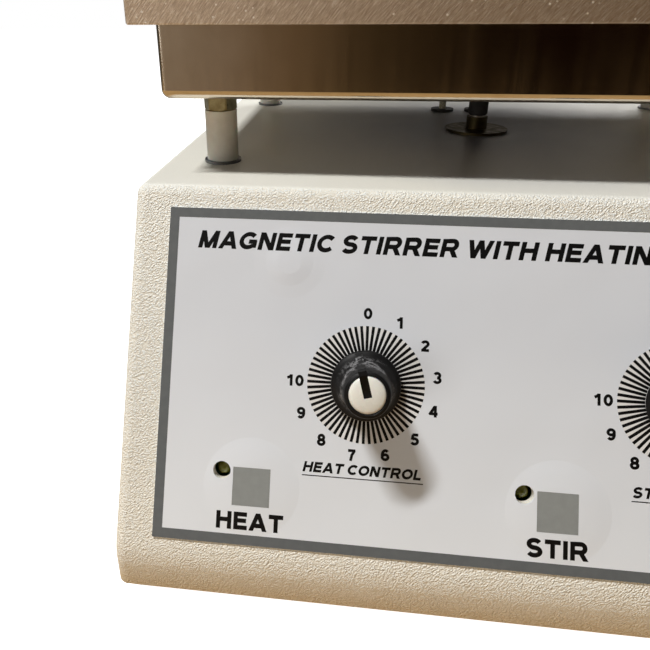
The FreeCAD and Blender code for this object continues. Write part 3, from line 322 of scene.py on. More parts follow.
def case_colour(n, level, leather):
    """Off-white with a few specks, and painted light and shade: the level top is painted darker, a warm tint low
    down and a brown band at the foot are painted bounce light and shade from the table, the grain's valleys get
    painted shade, and a darker, cooler patch under the hot plate is its painted shadow.
    """
    patches = n.noise(14, 4, 0.6)
    # Painted shade: the level top is painted darker than the sides, to offset the stronger light that falls on it.
    darker_top = n.mix(level, n.ramp(patches, [(0.3, linear(249, 253, 252)), (0.7, linear(245, 248, 245))]),
                  n.ramp(patches, [(0.3, linear(236, 235, 227)), (0.7, linear(230, 228, 218))]))
    # Painted shade: a brown band 9.5 to 19 mm up stands for the shaded foot, lit only by warm bounce from the
    # table.
    painted_band_mask = n.ramp(n.coordinate("Z"), [(0.0095, 1.0), (0.019, 0.0)])
    darkened = n.mix(n.times(painted_band_mask, 0.75), darker_top, linear(196, 168, 120))
    # Painted light: a paler, warmer tint up to 75 mm stands for warm bounce light from the table.
    lower = n.ramp(n.coordinate("Z"), [(0.02, 0.8), (0.075, 0.0)])
    warm = n.mix(lower, darkened, n.mix(painted_band_mask, linear(253, 249, 238), linear(206, 180, 132)))
    # Painted shadow: the top is painted darker and cooler round the middle of the hot plate, where the plate's
    # shadow falls.
    plate = middle("hot_plate")
    under_plate = (plate.x, plate.y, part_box("case_shell")[1].z)
    plate_shadow_mask = n.ramp(n.add_up(n.distance(under_plate), n.times(patches, 0.02)), [(0.035, 0.9), (0.115, 0.0)])
    with_plate_shadow = n.mix(plate_shadow_mask, warm, linear(100, 106, 128))
    specks = n.times(n.ramp(n.cells(55), [(0.012, 1.0), (0.02, 0.0)]),
                     n.ramp(n.noise(40, 2), [(0.6, 0.0), (0.64, 1.0)]))
    speckled = n.mix(specks, with_plate_shadow, linear(96, 70, 48))
    # Painted shade in the valleys of the leather grain, on all but the level top.
    valley_shade = n.mix(level, n.ramp(leather, [(0.0, 0.5), (0.17, 0.0)]), grey(0.0))
    return n.mix(valley_shade, speckled, linear(228, 217, 194))


def moulded_case():
    """Moulded plastic with a fine leather grain, smoother and shinier on the level top."""
    n = Nodes("moulded_case")
    level = n.ramp(n.facing("Z"), [(0.9, 0.0), (0.995, 1.0)])
    skewed = n.turned((0.0, 0.8, 0.0), (1.0, 1.0, 1.5))
    leather = n.add_up(n.times(n.cells(1900, skewed), -1.0), n.noise(2300, 2, 0.5, skewed))
    ripples = n.noise(60, 3)
    grained = n.bump(leather, 0.9, 0.0004, n.bump(ripples, 0.15, 0.0008))
    smoother = n.bump(leather, 0.25, 0.0003, n.bump(ripples, 0.1, 0.0006))
    rough = n.mix(level, n.ramp(n.noise(30, 3), [(0.3, 0.38), (0.7, 0.5)]), grey(0.3))
    return n.finish(case_colour(n, level, leather), rough, n.mix(level, grained, smoother))


def film_swells():
    """Shallow swells of the film round each push key, and a screw head's dent above the left dial.

    Each one is its middle, its reach and its height.
    """
    dial_across, dial_up = knob_place("heat")
    dent = panel_matrix(dial_across - 26 * MM, dial_up + 38 * MM).translation
    keys = [middle(f"{name}_key") for name in CONTROLS]
    return [(dent, 9 * MM, 0.45 * MM)] + [(key, 16 * MM, 0.6 * MM) for key in keys]


def panel_film():
    """Printed polycarbonate film: pale satin surface with very shallow waves, painted a little paler low down and
    darker towards the top as painted shade under the overhanging plate.
    """
    n = Nodes("panel_film")
    # Painted shade: darker towards the top, where the overhanging plate shades the film, with a little random tone
    # over it.
    uneven = n.add_up(n.times(n.coordinate("Z"), 8.0), n.times(n.noise(9, 3), 0.25))
    color = n.ramp(uneven, [(0.35, linear(236, 241, 247)), (0.9, linear(220, 225, 233))])
    waves = n.bump(n.noise(26, 2, 0.4), 0.32, 0.0024)
    for point, reach, height in film_swells():
        swell = n.ramp(n.distance(point), [(reach * 0.3, 1.0), (reach * 0.6, 0.75), (reach, 0.0)])
        waves = n.bump(swell, 1.0, height, waves)
    fine = n.bump(n.noise(2600, 2), 0.08, 0.00004, waves)
    rough = n.ramp(n.noise(50, 3), [(0.3, 0.30), (0.7, 0.40)])
    return n.finish(color, rough, fine, Coat_Weight=0.1)


def print_ink(name, shade, roughness=0.42):
    """Screen-printed ink or paint, with slightly uneven cover."""
    n = Nodes(name)
    light = linear(*[value + 6 for value in shade])
    color = n.ramp(n.noise(400, 4), [(0.35, linear(*shade)), (0.75, light)])
    return n.finish(color, roughness, n.bump(n.noise(1800, 2), 0.05, 0.00003), Specular_IOR_Level=0.2)


def knob_plastic():
    """Dull black moulded plastic, with thin grey scuffs in a ring half-way up the knob."""
    n = Nodes("knob_plastic")
    scratches = n.noise(300, 5, 0.7)
    outline = n.ramp(scratches, [(0.452, 0.0), (0.475, 1.0), (0.51, 1.0), (0.533, 0.0)])
    touched = n.ramp(n.coordinate("Z"), [(0.004, 0.0), (0.0065, 1.0), (0.0115, 1.0), (0.0135, 0.0)])
    patch = n.ramp(n.noise(150, 2, 0.5), [(0.4, 0.0), (0.5, 1.0)])
    scuff = n.times(outline, n.times(touched, patch))
    dusty = n.ramp(n.noise(260, 4), [(0.35, linear(7, 7, 8)), (0.75, linear(22, 22, 23))])
    color = n.mix(n.times(scuff, 0.75), dusty, linear(168, 168, 170))
    rough = n.ramp(scuff, [(0.0, 0.5), (1.0, 0.75)])
    normal = n.bump(scratches, 0.2, 0.0002, n.bump(n.noise(1500, 2), 0.08, 0.00004))
    return n.finish(color, rough, normal, Specular_IOR_Level=0.22)


def ivory_cap():
    n = Nodes("ivory_cap")
    color = n.ramp(n.noise(120, 3), [(0.3, linear(238, 237, 230)), (0.7, linear(230, 228, 218))])
    rough = n.ramp(n.noise(300, 4), [(0.3, 0.2), (0.7, 0.32)])
    return n.finish(color, rough, n.bump(n.noise(900, 3), 0.04, 0.00005), Coat_Weight=0.3,
                    Subsurface_Weight=0.08, Subsurface_Scale=0.001)


def sawn_aluminium():
    """Thick plate with saw marks that slant on its edges, bright specks, and a painted reflection: darker and
    browner towards the right, where it mirrors a dark room.
    """
    n = Nodes("sawn_aluminium")
    ends = n.ramp(n.math("ABSOLUTE", n.facing("X"), 0.0), [(0.5, 0.0), (0.6, 1.0)])
    marks = n.mix(ends, n.noise(2600, 3, 0.6, n.turned((0.0, 0.68, 0.0), (1.0, 30.0, 10.0))),
                  n.noise(2600, 3, 0.6, n.turned((0.68, 0.0, 0.0), (30.0, 1.0, 10.0))))
    sawn = n.add_up(n.times(marks, 0.7), n.times(n.noise(3200, 3, 0.7), 0.3))
    ridges = n.ramp(sawn, [(0.42, linear(176, 158, 140)), (0.53, linear(212, 196, 178)),
                           (0.64, linear(252, 248, 242))])
    worn = n.mix(n.ramp(n.noise(30, 4, 0.6), [(0.3, 0.0), (0.7, 0.35)]), ridges, linear(206, 188, 168))
    # Painted reflection: the plate is painted darker and browner towards the right, where it mirrors a dark room.
    along = n.add_up(n.times(n.coordinate("X"), 3.0), 0.5)
    darker_right = n.mix(n.ramp(along, [(0.1, 0.0), (0.75, 0.62)]), worn, linear(96, 78, 62))
    specks = n.times(n.ramp(n.cells(480), [(0.13, 1.0), (0.2, 0.0)]),
                     n.ramp(n.noise(110, 2), [(0.46, 0.0), (0.54, 1.0)]))
    fewer_on_top = n.ramp(n.facing("Z"), [(0.9, 1.0), (0.99, 0.12)])
    color = n.mix(n.times(specks, fewer_on_top), darker_right, linear(250, 246, 240))
    rough = n.ramp(sawn, [(0.35, 0.6), (0.65, 0.32)])
    return n.finish(color, rough, n.bump(sawn, 0.9, 0.0003), Metallic=0.65)


def brushed_pan():
    """Bright folded stainless sheet with faint upright brush marks, smudges and a few stains."""
    n = Nodes("brushed_pan")
    brushed = n.noise(160, 3, 0.6, n.stretched((1.6, 0.02, 0.05)))
    smudge = n.noise(34, 5, 0.65)
    smudged = n.ramp(smudge, [(0.35, linear(214, 205, 191)), (0.75, linear(190, 177, 157))])
    stains = n.times(n.ramp(n.cells(230), [(0.03, 1.0), (0.06, 0.0)]),
                     n.ramp(n.noise(60, 2), [(0.55, 0.0), (0.6, 1.0)]))
    color = n.mix(stains, smudged, linear(240, 214, 176))
    rough = n.ramp(n.add_up(n.times(brushed, 0.5), n.times(smudge, 0.5)), [(0.3, 0.1), (0.7, 0.19)])
    return n.finish(color, rough, n.bump(smudge, 0.05, 0.0004), Metallic=1.0)


def plated_steel(name, shade, rough=(0.25, 0.5)):
    """Plated metal hardware with a little tarnish; rough is its smoothest and its roughest."""
    n = Nodes(name)
    red, green, blue = shade
    dull = linear(red * 0.72, green * 0.7, blue * 0.66)
    color = n.ramp(n.noise(260, 5, 0.65), [(0.35, linear(*shade)), (0.75, dull)])
    return n.finish(color, n.ramp(n.noise(340, 4), [(0.3, rough[0]), (0.7, rough[1])]),
                    n.bump(n.noise(900, 3), 0.1, 0.00005), Metallic=1.0)


def nylon():
    """Slightly translucent white nylon with fine turning rings."""
    n = Nodes("nylon")
    color = n.ramp(n.noise(150, 3), [(0.3, linear(206, 203, 192)), (0.7, linear(192, 188, 176))])
    rings = n.noise(1200, 2, 0.5, n.stretched((0.05, 0.05, 1.0)))
    return n.finish(color, 0.42, n.bump(rings, 0.1, 0.00006), Subsurface_Weight=0.25,
                    Subsurface_Scale=0.002)


def soft_rubber():
    n = Nodes("soft_rubber")
    color = n.ramp(n.noise(200, 4), [(0.3, linear(26, 26, 26)), (0.75, linear(44, 43, 41))])
    return n.finish(color, 0.75, n.bump(n.noise(1400, 3), 0.2, 0.0001))


def moulded(name, shade):
    """Plain moulded plastic with a fine spark-eroded surface."""
    n = Nodes(name)
    light = linear(*[value * 1.25 + 6 for value in shade])
    color = n.ramp(n.noise(130, 4), [(0.35, linear(*shade)), (0.8, light)])
    rough = n.ramp(n.noise(220, 3), [(0.3, 0.34), (0.7, 0.48)])
    return n.finish(color, rough, n.bump(n.noise(1300, 3), 0.12, 0.00006))


def lamp_lens():
    """Unlit indicator lamp: olive tinted resin."""
    n = Nodes("lamp_lens")
    color = n.ramp(n.noise(500, 3), [(0.3, linear(110, 116, 30)), (0.7, linear(140, 142, 60))])
    return n.finish(color, 0.12, n.bump(n.noise(500, 2), 0.05, 0.00005), Coat_Weight=0.6,
                    Transmission_Weight=0.35, IOR=1.5)


def powder_coat():
    n = Nodes("powder_coat")
    color = n.ramp(n.noise(60, 4), [(0.3, linear(206, 203, 194)), (0.7, linear(190, 186, 175))])
    return n.finish(color, 0.5, n.bump(n.noise(1600, 3), 0.3, 0.0001))


def laminate():
    """Green circuit board with faint tracks under its varnish."""
    n = Nodes("laminate")
    tracks = n.ramp(n.noise(260, 1, 0.2, n.stretched((1.0, 0.15, 1.0))), [(0.5, 0.0), (0.52, 1.0)])
    color = n.mix(tracks, linear(18, 78, 40), linear(34, 104, 58))
    return n.finish(color, 0.3, n.bump(tracks, 0.2, 0.00005))


def fibre(name, shade):
    """Pressed or woven mineral fibre."""
    n = Nodes(name)
    red, green, blue = shade
    weave = n.cells(900)
    color = n.ramp(weave, [(0.1, linear(*shade)), (0.6, linear(red * 0.8, green * 0.8, blue * 0.76))])
    return n.finish(color, 0.9, n.bump(weave, 0.5, 0.0003))


def winding():
    """Enamelled copper wire in close turns."""
    n = Nodes("winding")
    turns = n.noise(900, 2, 0.4, n.stretched((0.1, 0.1, 1.0)))
    color = n.ramp(turns, [(0.3, linear(120, 54, 20)), (0.7, linear(206, 120, 60))])
    return n.finish(color, 0.35, n.bump(turns, 0.5, 0.0003), Metallic=0.4)


MATERIALS = {
    "case_plastic": moulded_case(),
    "base_steel": powder_coat(),
    "panel_film": panel_film(),
    "key_grey": print_ink("key_grey", (143, 147, 146)),
    "knob_black": knob_plastic(),
    "cap_ivory": ivory_cap(),
    "lamp_green": lamp_lens(),
    "plate_aluminium": sawn_aluminium(),
    "pan_stainless": brushed_pan(),
    "spacer_nylon": nylon(),
    "zinc_steel": plated_steel("zinc_steel", (190, 188, 182)),
    "yellow_zinc": plated_steel("yellow_zinc", (168, 162, 128)),
    "black_rubber": soft_rubber(),
    "black_plastic": moulded("black_plastic", (28, 28, 30)),
    "terminal_plastic": moulded("terminal_plastic", (46, 120, 70)),
    "board_laminate": laminate(),
    "dark_steel": plated_steel("dark_steel", (70, 70, 72), (0.45, 0.65)),
    "copper_winding": winding(),
    "contact_brass": plated_steel("contact_brass", (206, 172, 104)),
    "pot_metal": plated_steel("pot_metal", (170, 170, 168)),
    "magnet_nickel": plated_steel("magnet_nickel", (206, 206, 204), (0.12, 0.25)),
    "insulation_fibre": fibre("insulation_fibre", (226, 222, 208)),
    "lead_sleeve": fibre("lead_sleeve", (206, 198, 176)),
}
INK_BLACK = print_ink("ink_black", (10, 10, 11))
INK_GREY = print_ink("ink_grey", (100, 104, 106))
INK_WHITE = print_ink("ink_white", (228, 228, 228), 0.36)


def dress_nodes():
    """Give every CAD node the material of its slot, or a darker one for the shaft bearing and the spacer washers.
    """
    slots = {part["node"]: part["material_slot"] for part in frame["record"]["subparts"]}
    darkened = {"shaft_bearing": plated_steel("dark_bronze", (74, 66, 44), (0.3, 0.6)),
             "spacer_washers": plated_steel("dull_washer", (122, 124, 126), (0.25, 0.5))}
    for node, obj in frame["nodes"].items():
        obj.data.materials.clear()
        obj.data.materials.append(darkened.get(node) or MATERIALS[slots[node]])


# ---- printing on the film ---------------------------------------------------------------------------

INK = 0.02 * MM
BORDER = 3.2 * MM
SLANT = 0.21
TITLE = "MAGNETIC STIRRER WITH HEATING"
TITLE_HEIGHT = 5.8 * MM
TITLE_MARGIN = 10 * MM
TITLE_UP = 94.5 * MM
DIAL_RADIUS = 18.5 * MM
TICKS = 60
TICK_INNER = 10.4 * MM
TICK_WIDTH = 0.9 * MM
GROUND_INNER = TICK_INNER - 1.5 * MM
GROUND_STEPS = 60
NUMERALS = 11
NUMERAL_HEIGHT = 3.6 * MM
NUMERAL_RADIUS = 22.5 * MM
NUMERAL_STEP = 27
CAPTION_HEIGHT = 3.2 * MM
CAPTION_SHIFT = -0.4 * MM
CAPTION_DROP = 28.4 * MM
UNDERLINE_DROP = 29.5 * MM
UNDERLINE_EXTRA = 1 * MM
UNDERLINE_THICKNESS = 0.3 * MM
KEY_WORD_HEIGHT = 5.5 * MM
KEY_WORD_UP = 4.7 * MM

# Letters are strokes on a cap height of 1: straight ones are two points, round ones are arcs.
STROKE = 0.245
LOW, HIGH = STROKE / 2, 1 - STROKE / 2
LETTER_GAP = 0.13
ARC_STEP = 15
SHARPEST_MITRE = 0.5


def curve(*parts):
    """Join arcs and points into one stroke. An arc is (x, y, radius x, radius y, start, end)."""
    points = []
    for part in parts:
        if len(part) == 2:
            points.append(part)
            continue
        x, y, radius_x, radius_y, start, end = part
        steps = max(2, round(abs(end - start) / ARC_STEP))
        points += [(x + radius_x * c, y + radius_y * s) for c, s in arc_points(1, start, end, steps)]
    return points


def bowl(x, y, radius_x, radius_y):
    """Closed round stroke, in two halves that overlap a little."""
    return [curve((x, y, radius_x, radius_y, 0, 195)), curve((x, y, radius_x, radius_y, 180, 375))]


SIX = [*bowl(0.35, 0.31, 0.25, 0.215), curve((0.37, 0.5, 0.27, HIGH - 0.5, 45, 200))]
GLYPHS = {
    " ": (0.2, []),
    "A": (1.0, [[(0.1, 0), (0.5, 1)], [(0.9, 0), (0.5, 1)], [(0.25, 0.3), (0.75, 0.3)]]),
    "C": (0.93, [curve((0.5, 0.5, 0.4, HIGH - 0.5, 42, 318))]),
    "D": (0.92, [[(LOW, 0), (LOW, 1)], curve((0, HIGH), (0.42, 0.5, 0.4, HIGH - 0.5, 90, -90), (0, LOW))]),
    "E": (0.8, [[(LOW, 0), (LOW, 1)], [(0, HIGH), (0.78, HIGH)], [(0, 0.52), (0.74, 0.52)],
                [(0, LOW), (0.8, LOW)]]),
    "G": (0.98, [curve((0.5, 0.5, 0.4, HIGH - 0.5, 42, 318)), [(0.87, 0.1), (0.87, 0.5)],
                 [(0.52, 0.45), (0.965, 0.45)]]),
    "H": (0.9, [[(LOW, 0), (LOW, 1)], [(0.9 - LOW, 0), (0.9 - LOW, 1)], [(0, 0.53), (0.9, 0.53)]]),
    "I": (STROKE, [[(LOW, 0), (LOW, 1)]]),
    "L": (0.72, [[(LOW, 0), (LOW, 1)], [(0, LOW), (0.72, LOW)]]),
    "M": (1.06, [[(LOW, 0), (LOW, 1)], [(1.06 - LOW, 0), (1.06 - LOW, 1)],
                 [(0.13, 1), (0.53, 0)], [(0.93, 1), (0.53, 0)]]),
    "N": (0.9, [[(LOW, 0), (LOW, 1)], [(0.9 - LOW, 0), (0.9 - LOW, 1)], [(0.13, 1), (0.77, 0)]]),
    "O": (1.0, bowl(0.5, 0.5, 0.4, HIGH - 0.5)),
    "P": (0.84, [[(LOW, 0), (LOW, 1)], curve((0, HIGH), (0.5, 0.665, 0.245, 0.24, 90, -90), (0, 0.425))]),
    "R": (0.94, [[(LOW, 0), (LOW, 1)], curve((0, HIGH), (0.55, 0.68, 0.225, 0.225, 90, -90), (0, 0.455)),
                 [(0.82, 0), (0.53, 0.47)]]),
    "S": (0.84, [curve((0.42, 0.705, 0.29, 0.2, 25, 270)), curve((0.42, 0.3, 0.315, 0.205, 92, -155))]),
    "T": (0.84, [[(0, HIGH), (0.84, HIGH)], [(0.42, 0), (0.42, 1)]]),
    "W": (1.3, [[(0.1, 1), (0.38, 0)], [(0.65, 1), (0.38, 0)], [(0.65, 1), (0.92, 0)],
                [(1.2, 1), (0.92, 0)]]),
    "0": (0.7, bowl(0.35, 0.5, 0.255, HIGH - 0.5)),
    "1": (0.7, [[(0.44, 0), (0.44, 1)], curve((0.08, 0.7), (0.3, 0.79), (0.44, 0.94))]),
    "2": (0.7, [curve((0.35, 0.68, 0.25, HIGH - 0.68, 165, -38), (0.1, 0.1)), [(0.02, LOW), (0.68, LOW)]]),
    "3": (0.7, [curve((0.34, 0.705, 0.22, 0.2, 160, -90)), curve((0.34, 0.3, 0.26, 0.205, 92, -160))]),
    "4": (0.74, [[(0.52, 0), (0.52, 1)], [(0, 0.3), (0.72, 0.3)], [(0.06, 0.25), (0.5, 0.98)]]),
    "5": (0.7, [[(0.15, HIGH), (0.64, HIGH)], curve((0.2, 0.9), (0.13, 0.46)),
                curve((0.33, 0.325, 0.265, 0.23, 140, -155))]),
    "6": (0.7, SIX),
    "7": (0.7, [[(0.04, HIGH), (0.68, HIGH)], curve((0.6, 0.88), (0.38, 0.5), (0.28, 0))]),
    "8": (0.7, bowl(0.35, 0.71, 0.215, 0.195) + bowl(0.35, 0.3, 0.255, 0.205)),
    "9": (0.7, [[(0.7 - x, 1 - y) for x, y in stroke] for stroke in SIX]),
}


def band(stroke):
    """Outline of one stroke. A straight one is cut level at its ends, a round one square."""
    half = STROKE / 2
    if len(stroke) == 2 and abs(stroke[0][1] - stroke[1][1]) < TINY:
        (x0, y), (x1, _) = sorted(stroke)
        return [(x0, y - half), (x1, y - half), (x1, y + half), (x0, y + half)]
    if len(stroke) == 2:
        (x0, y0), (x1, y1) = sorted(stroke, key=lambda point: point[1])
        wide = half * math.hypot(x1 - x0, y1 - y0) / (y1 - y0)
        return [(x0 - wide, y0), (x0 + wide, y0), (x1 + wide, y1), (x1 - wide, y1)]
    left, right = [], []
    for i, point in enumerate(stroke):
        here = Vector(point)
        before = (here - Vector(stroke[i - 1])).normalized() if i else None
        after = (Vector(stroke[i + 1]) - here).normalized() if i + 1 < len(stroke) else None
        before, after = before or after, after or before
        along = (before + after).normalized()
        side = Vector((-along.y, along.x)) * half / max(along.dot(before), SHARPEST_MITRE)
        left.append(tuple(here + side))
        right.append(tuple(here - side))
    return right + left[::-1]


def print_shapes(name, outlines, matrix, ink=INK_BLACK, low=0.0, high=INK):
    """One thin piece of ink that covers all the outlines, given in the matrix's plane."""
    points, faces = [], []
    for outline in outlines:
        faces.append(list(range(len(points), len(points) + len(outline))))
        points += [Vector(point) for point in outline]
    verts, _, triangles, _, _, sources = delaunay_2d_cdt(points, [], faces, 0, TINY, True)
    triangles = [triangle for triangle, source in zip(triangles, sources) if source]
    bm = bmesh.new()
    floor = [bm.verts.new(matrix @ Vector((*vert, low))) for vert in verts]
    roof = [bm.verts.new(matrix @ Vector((*vert, high))) for vert in verts]
    rims = {}
    for triangle in triangles:
        bm.faces.new([roof[i] for i in triangle])
        bm.faces.new([floor[i] for i in reversed(triangle)])
        for a, b in zip(triangle, triangle[1:] + triangle[:1]):
            rims[(a, b)] = (b, a) not in rims
            if (b, a) in rims:
                rims[(b, a)] = False
    for (a, b), free in rims.items():
        if free:
            bm.faces.new((roof[a], floor[a], floor[b], roof[b]))
    bmesh.ops.delete(bm, geom=[vert for vert in bm.verts if not vert.link_faces], context="VERTS")
    piece(name, bm, HOUSING, ink, 20)


def lettering(name, text, height, across, up, align=0.5, slant=0.0):
    """Words in ink, placed by their baseline; align is 0 for the left end and 0.5 for the middle."""
    outlines, length = [], 0.0
    for letter in text:
        width, strokes = GLYPHS[letter]
        for stroke in strokes:
            outlines.append([(length + x + slant * y, y) for x, y in band(stroke)])
        length += width + LETTER_GAP
    length -= LETTER_GAP
    outlines = [[((x - align * length) * height, y * height) for x, y in outline]
                for outline in outlines]
    print_shapes(name, outlines, panel_matrix(across, up))
    return length * height


def print_border():
    """Grey frame printed round the film's edge."""
    half_x, half_y = FILM_WIDTH / 2, FILM_HEIGHT / 2
    long_bar = half_x * 2, BORDER
    tall_bar = BORDER, (half_y - BORDER) * 2
    bars = [rectangle(0, side * (half_y - BORDER / 2), *long_bar) for side in (-1, 1)]
    bars += [rectangle(side * (half_x - BORDER / 2), 0, *tall_bar) for side in (-1, 1)]
    print_shapes("film_border", bars, panel_matrix(0, half_y), INK_GREY)


def print_dial(name, across, up):
    """Sixty radial ticks on a white ring, which is made of two halves."""
    matrix = panel_matrix(across, up)
    halves = [arc_points(DIAL_RADIUS, start, start + 180, GROUND_STEPS)
              + arc_points(GROUND_INNER, start + 180, start, GROUND_STEPS) for start in (0, 180)]
    print_shapes(f"{name}_dial_ground", halves, matrix, INK_WHITE, 0, INK)
    tick = rectangle(0, (DIAL_RADIUS + TICK_INNER) / 2, TICK_WIDTH, DIAL_RADIUS - TICK_INNER)
    turns = [Matrix.Rotation(FULL_TURN * i / TICKS, 2) for i in range(TICKS)]
    ticks = [[turn @ Vector(corner) for corner in tick] for turn in turns]
    print_shapes(f"{name}_dial_ticks", ticks, matrix, INK_BLACK, INK, 2 * INK)


def print_numerals(name, across, up):
    """Numbers round a dial, from 0 at its top."""
    for numeral in range(NUMERALS):
        angle = math.radians(NUMERAL_STEP * numeral)
        lettering(f"{name}_numeral_{numeral}", str(numeral), NUMERAL_HEIGHT,
                  across + NUMERAL_RADIUS * math.sin(angle),
                  up + NUMERAL_RADIUS * math.cos(angle) - NUMERAL_HEIGHT / 2)


def print_labels():
    """Title, and for each control its dial, its underlined caption and the word above its key."""
    lettering("title", TITLE, TITLE_HEIGHT, TITLE_MARGIN - FILM_WIDTH / 2, TITLE_UP, 0, SLANT)
    for name, word, caption in (("heat", "HEAT", "HEAT CONTROL"), ("stir", "STIR", "STIR SPEED")):
        across, up = knob_place(name)
        print_dial(name, across, up)
        print_numerals(name, across, up)
        length = lettering(f"{name}_caption", caption, CAPTION_HEIGHT, across + CAPTION_SHIFT,
                           up - CAPTION_DROP, slant=SLANT)
        underline = rectangle(0, 0, length + UNDERLINE_EXTRA, UNDERLINE_THICKNESS)
        print_shapes(f"{name}_caption_line", [underline], panel_matrix(across, up - UNDERLINE_DROP))
        key_across, _ = on_panel(middle(f"{name}_key"))
        lettering(f"{name}_key_word", word, KEY_WORD_HEIGHT, key_across, KEY_WORD_UP)


# ---- knobs ------------------------------------------------------------------------------------------

POINTER_WIDTH = 2.4 * MM
POINTER_CLEARANCE = 0.1 * MM
POINTER_TURN = math.radians(15)
KNOB_SOFTENING = 0.22 * MM
CAP_SOFTENING = 0.12 * MM

# Profiles of (radius, height), in millimetres from the film's face.
KNOB_PROFILE = ((0, 1.0), (10.6, 1.0), (10.95, 1.3), (10.95, 2.5), (10.7, 3.0), (10.1, 3.35), (9.3, 4.2),
                (8.5, 5.6), (7.95, 7.2), (7.65, 9.0), (7.4, 11.5), (7.15, 14.5), (6.95, 17.2), (6.85, 18.2),
                (6.6, 18.8), (6.1, 19.1), (5.75, 19.15), (5.6, 19.0), (5.55, 18.4), (5.55, 16.7), (0, 16.7))
RECESS_PROFILE = ((0, 16.7), (5.55, 16.7), (5.55, 30), (0, 30))
CAP_PROFILE = ((0, 16.8), (5.3, 16.8), (5.45, 17.0), (5.45, 18.5), (5.38, 18.8), (5.15, 19.05), (4.6, 19.3),
               (3.4, 19.55), (1.8, 19.68), (0, 19.7))
RIB_OUTLINE = ((0, 19.3), (6.9, 19.3), (7.6, 18.4), (8.3, 10.0), (8.9, 7.0), (9.8, 5.0), (10.7, 3.7),
               (10.7, 1.6), (0, 1.6))

# Blocks that run along the pointer: low, high, start and end.
BLADE = (16.5 * MM, 19.15 * MM, -0.8 * MM, 5.8 * MM)
SLOT = (16 * MM, 25 * MM, -0.85 * MM, 8 * MM)


def carve(bm, tool, operation):
    """Boolean of two bmeshes, with the tool used up."""
    first, second = mesh_object("carved", bm), mesh_object("carver", tool)
    modifier = first.modifiers.new("carve", "BOOLEAN")
    modifier.operation = operation
    modifier.solver = "EXACT"
    modifier.object = second
    result = bmesh.new()
    result.from_object(first, bpy.context.evaluated_depsgraph_get())
    for obj in (first, second):
        mesh = obj.data
        bpy.data.objects.remove(obj)
        bpy.data.meshes.remove(mesh)
    return result


def soften(obj, width):
    """Round the sharp edges of a moulded piece."""
    modifier = obj.modifiers.new("soften", "BEVEL")
    modifier.width = width
    modifier.segments = 3
    modifier.limit_method = "ANGLE"
    modifier.angle_limit = math.radians(40)


def pointer_block(low, high, start, end, width):
    return slab(rectangle(0, (start + end) / 2, width, end - start), low, high)


def rib():
    """Raised rib that stands out from the knob's flare, along the pointer."""
    upright = Matrix.Rotation(math.pi / 2, 4, "Z") @ Matrix.Rotation(math.pi / 2, 4, "X")
    return slab(scaled(RIB_OUTLINE), -POINTER_WIDTH / 2, POINTER_WIDTH / 2, upright)


def make_knob(name):
    """Flared skirt knob with a raised pointer rib that runs into the slot of its ivory cap."""
    body = f"{name}_control"
    place = panel_matrix(*knob_place(name), turn=POINTER_TURN)
    bm = carve(lathe(KNOB_PROFILE), rib(), "UNION")
    bm = carve(bm, lathe(RECESS_PROFILE), "DIFFERENCE")
    bm = carve(bm, pointer_block(*BLADE, POINTER_WIDTH - POINTER_CLEARANCE), "UNION")
    knob = piece(f"{name}_knob_body", bm, body, MATERIALS["knob_black"], 30, place)
    soften(knob, KNOB_SOFTENING)
    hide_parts(f"{name}_knob")
    cap = carve(lathe(CAP_PROFILE), pointer_block(*SLOT, POINTER_WIDTH), "DIFFERENCE")
    top = piece(f"{name}_knob_button", cap, body, MATERIALS["cap_ivory"], 30, place)
    soften(top, CAP_SOFTENING)
    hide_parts(f"{name}_knob_cap")


# ---- surroundings -----------------------------------------------------------------------------------


FLOOR_SIZE = 8
TABLE_HEIGHT = -1 * MM
CARD_LOW, CARD_HIGH = -0.18, 0.42

# Each lamp: name, place, aim, width, length, watts and colour.
LAMPS = (
    ("tube_light", (-0.93, -0.34, 2.08), (-0.05, -0.1, 0.08), 0.1, 0.4, 48, (1.0, 0.99, 0.97)),
    ("ceiling_light", (-0.5, 0.1, 1.7), (0, 0, 0), 1.2, 1.2, 2, (1.0, 0.99, 0.97)),
    ("window_light", (-0.72, -0.84, 0.24), (0, -0.12, 0.03), 0.4, 0.3, 1.6, (1.0, 0.98, 0.96)),
    ("rear_light", (0.7, 1.1, 1.15), (0, 0.1, 0.05), 0.8, 0.8, 18, (1.0, 0.99, 0.98)),
)
CAMERA_PLACE = (-0.05723, -0.26391, 0.18906)
CAMERA_TURN = (66.672, 0.385, 6.681)
CAMERA_LENS = 32.588
CAMERA_SENSOR = 36.0
CAMERA_SHIFT = (0.0633, -0.1109)


def floor_surface():
    """Pale surface that glows evenly."""
    n = Nodes("floor_surface")
    return n.finish(grey(0.8), 0.9, Emission_Color=grey(0.8), Emission_Strength=1.3)


def table_surface():
    """Table top that lights the machine from below: warm brown in front, pale grey behind."""
    n = Nodes("table_surface")
    shade = n.ramp(n.add_up(n.coordinate("Y"), 0.5),
                   [(0.4, linear(240, 200, 142)), (0.55, linear(212, 210, 207))])
    return n.finish(shade, 0.6, Emission_Color=shade, Emission_Strength=0.5)


def hide_from(obj, *rays):
    for ray in rays:
        setattr(obj, f"visible_{ray}", False)


def sheet(name, corners, material):
    """Flat sheet that is part of the surroundings and not of the object."""
    bm = bmesh.new()
    bm.faces.new([bm.verts.new(corner) for corner in corners])
    obj = mesh_object(name, bm)
    obj.data.materials.append(material)
    return obj


def reflection_card(name, corners, color):
    """Upright card of steady light that only glossy surfaces see. Its colour may be made of nodes."""
    n = Nodes(f"{name}_surface")
    glow = color(n) if callable(color) else color
    n.finish(grey(0.0), 1.0, Emission_Color=glow, Emission_Strength=1.0, Specular_IOR_Level=0.0)
    hide_from(sheet(name, corners, n.material), "camera", "diffuse", "shadow", "transmission")


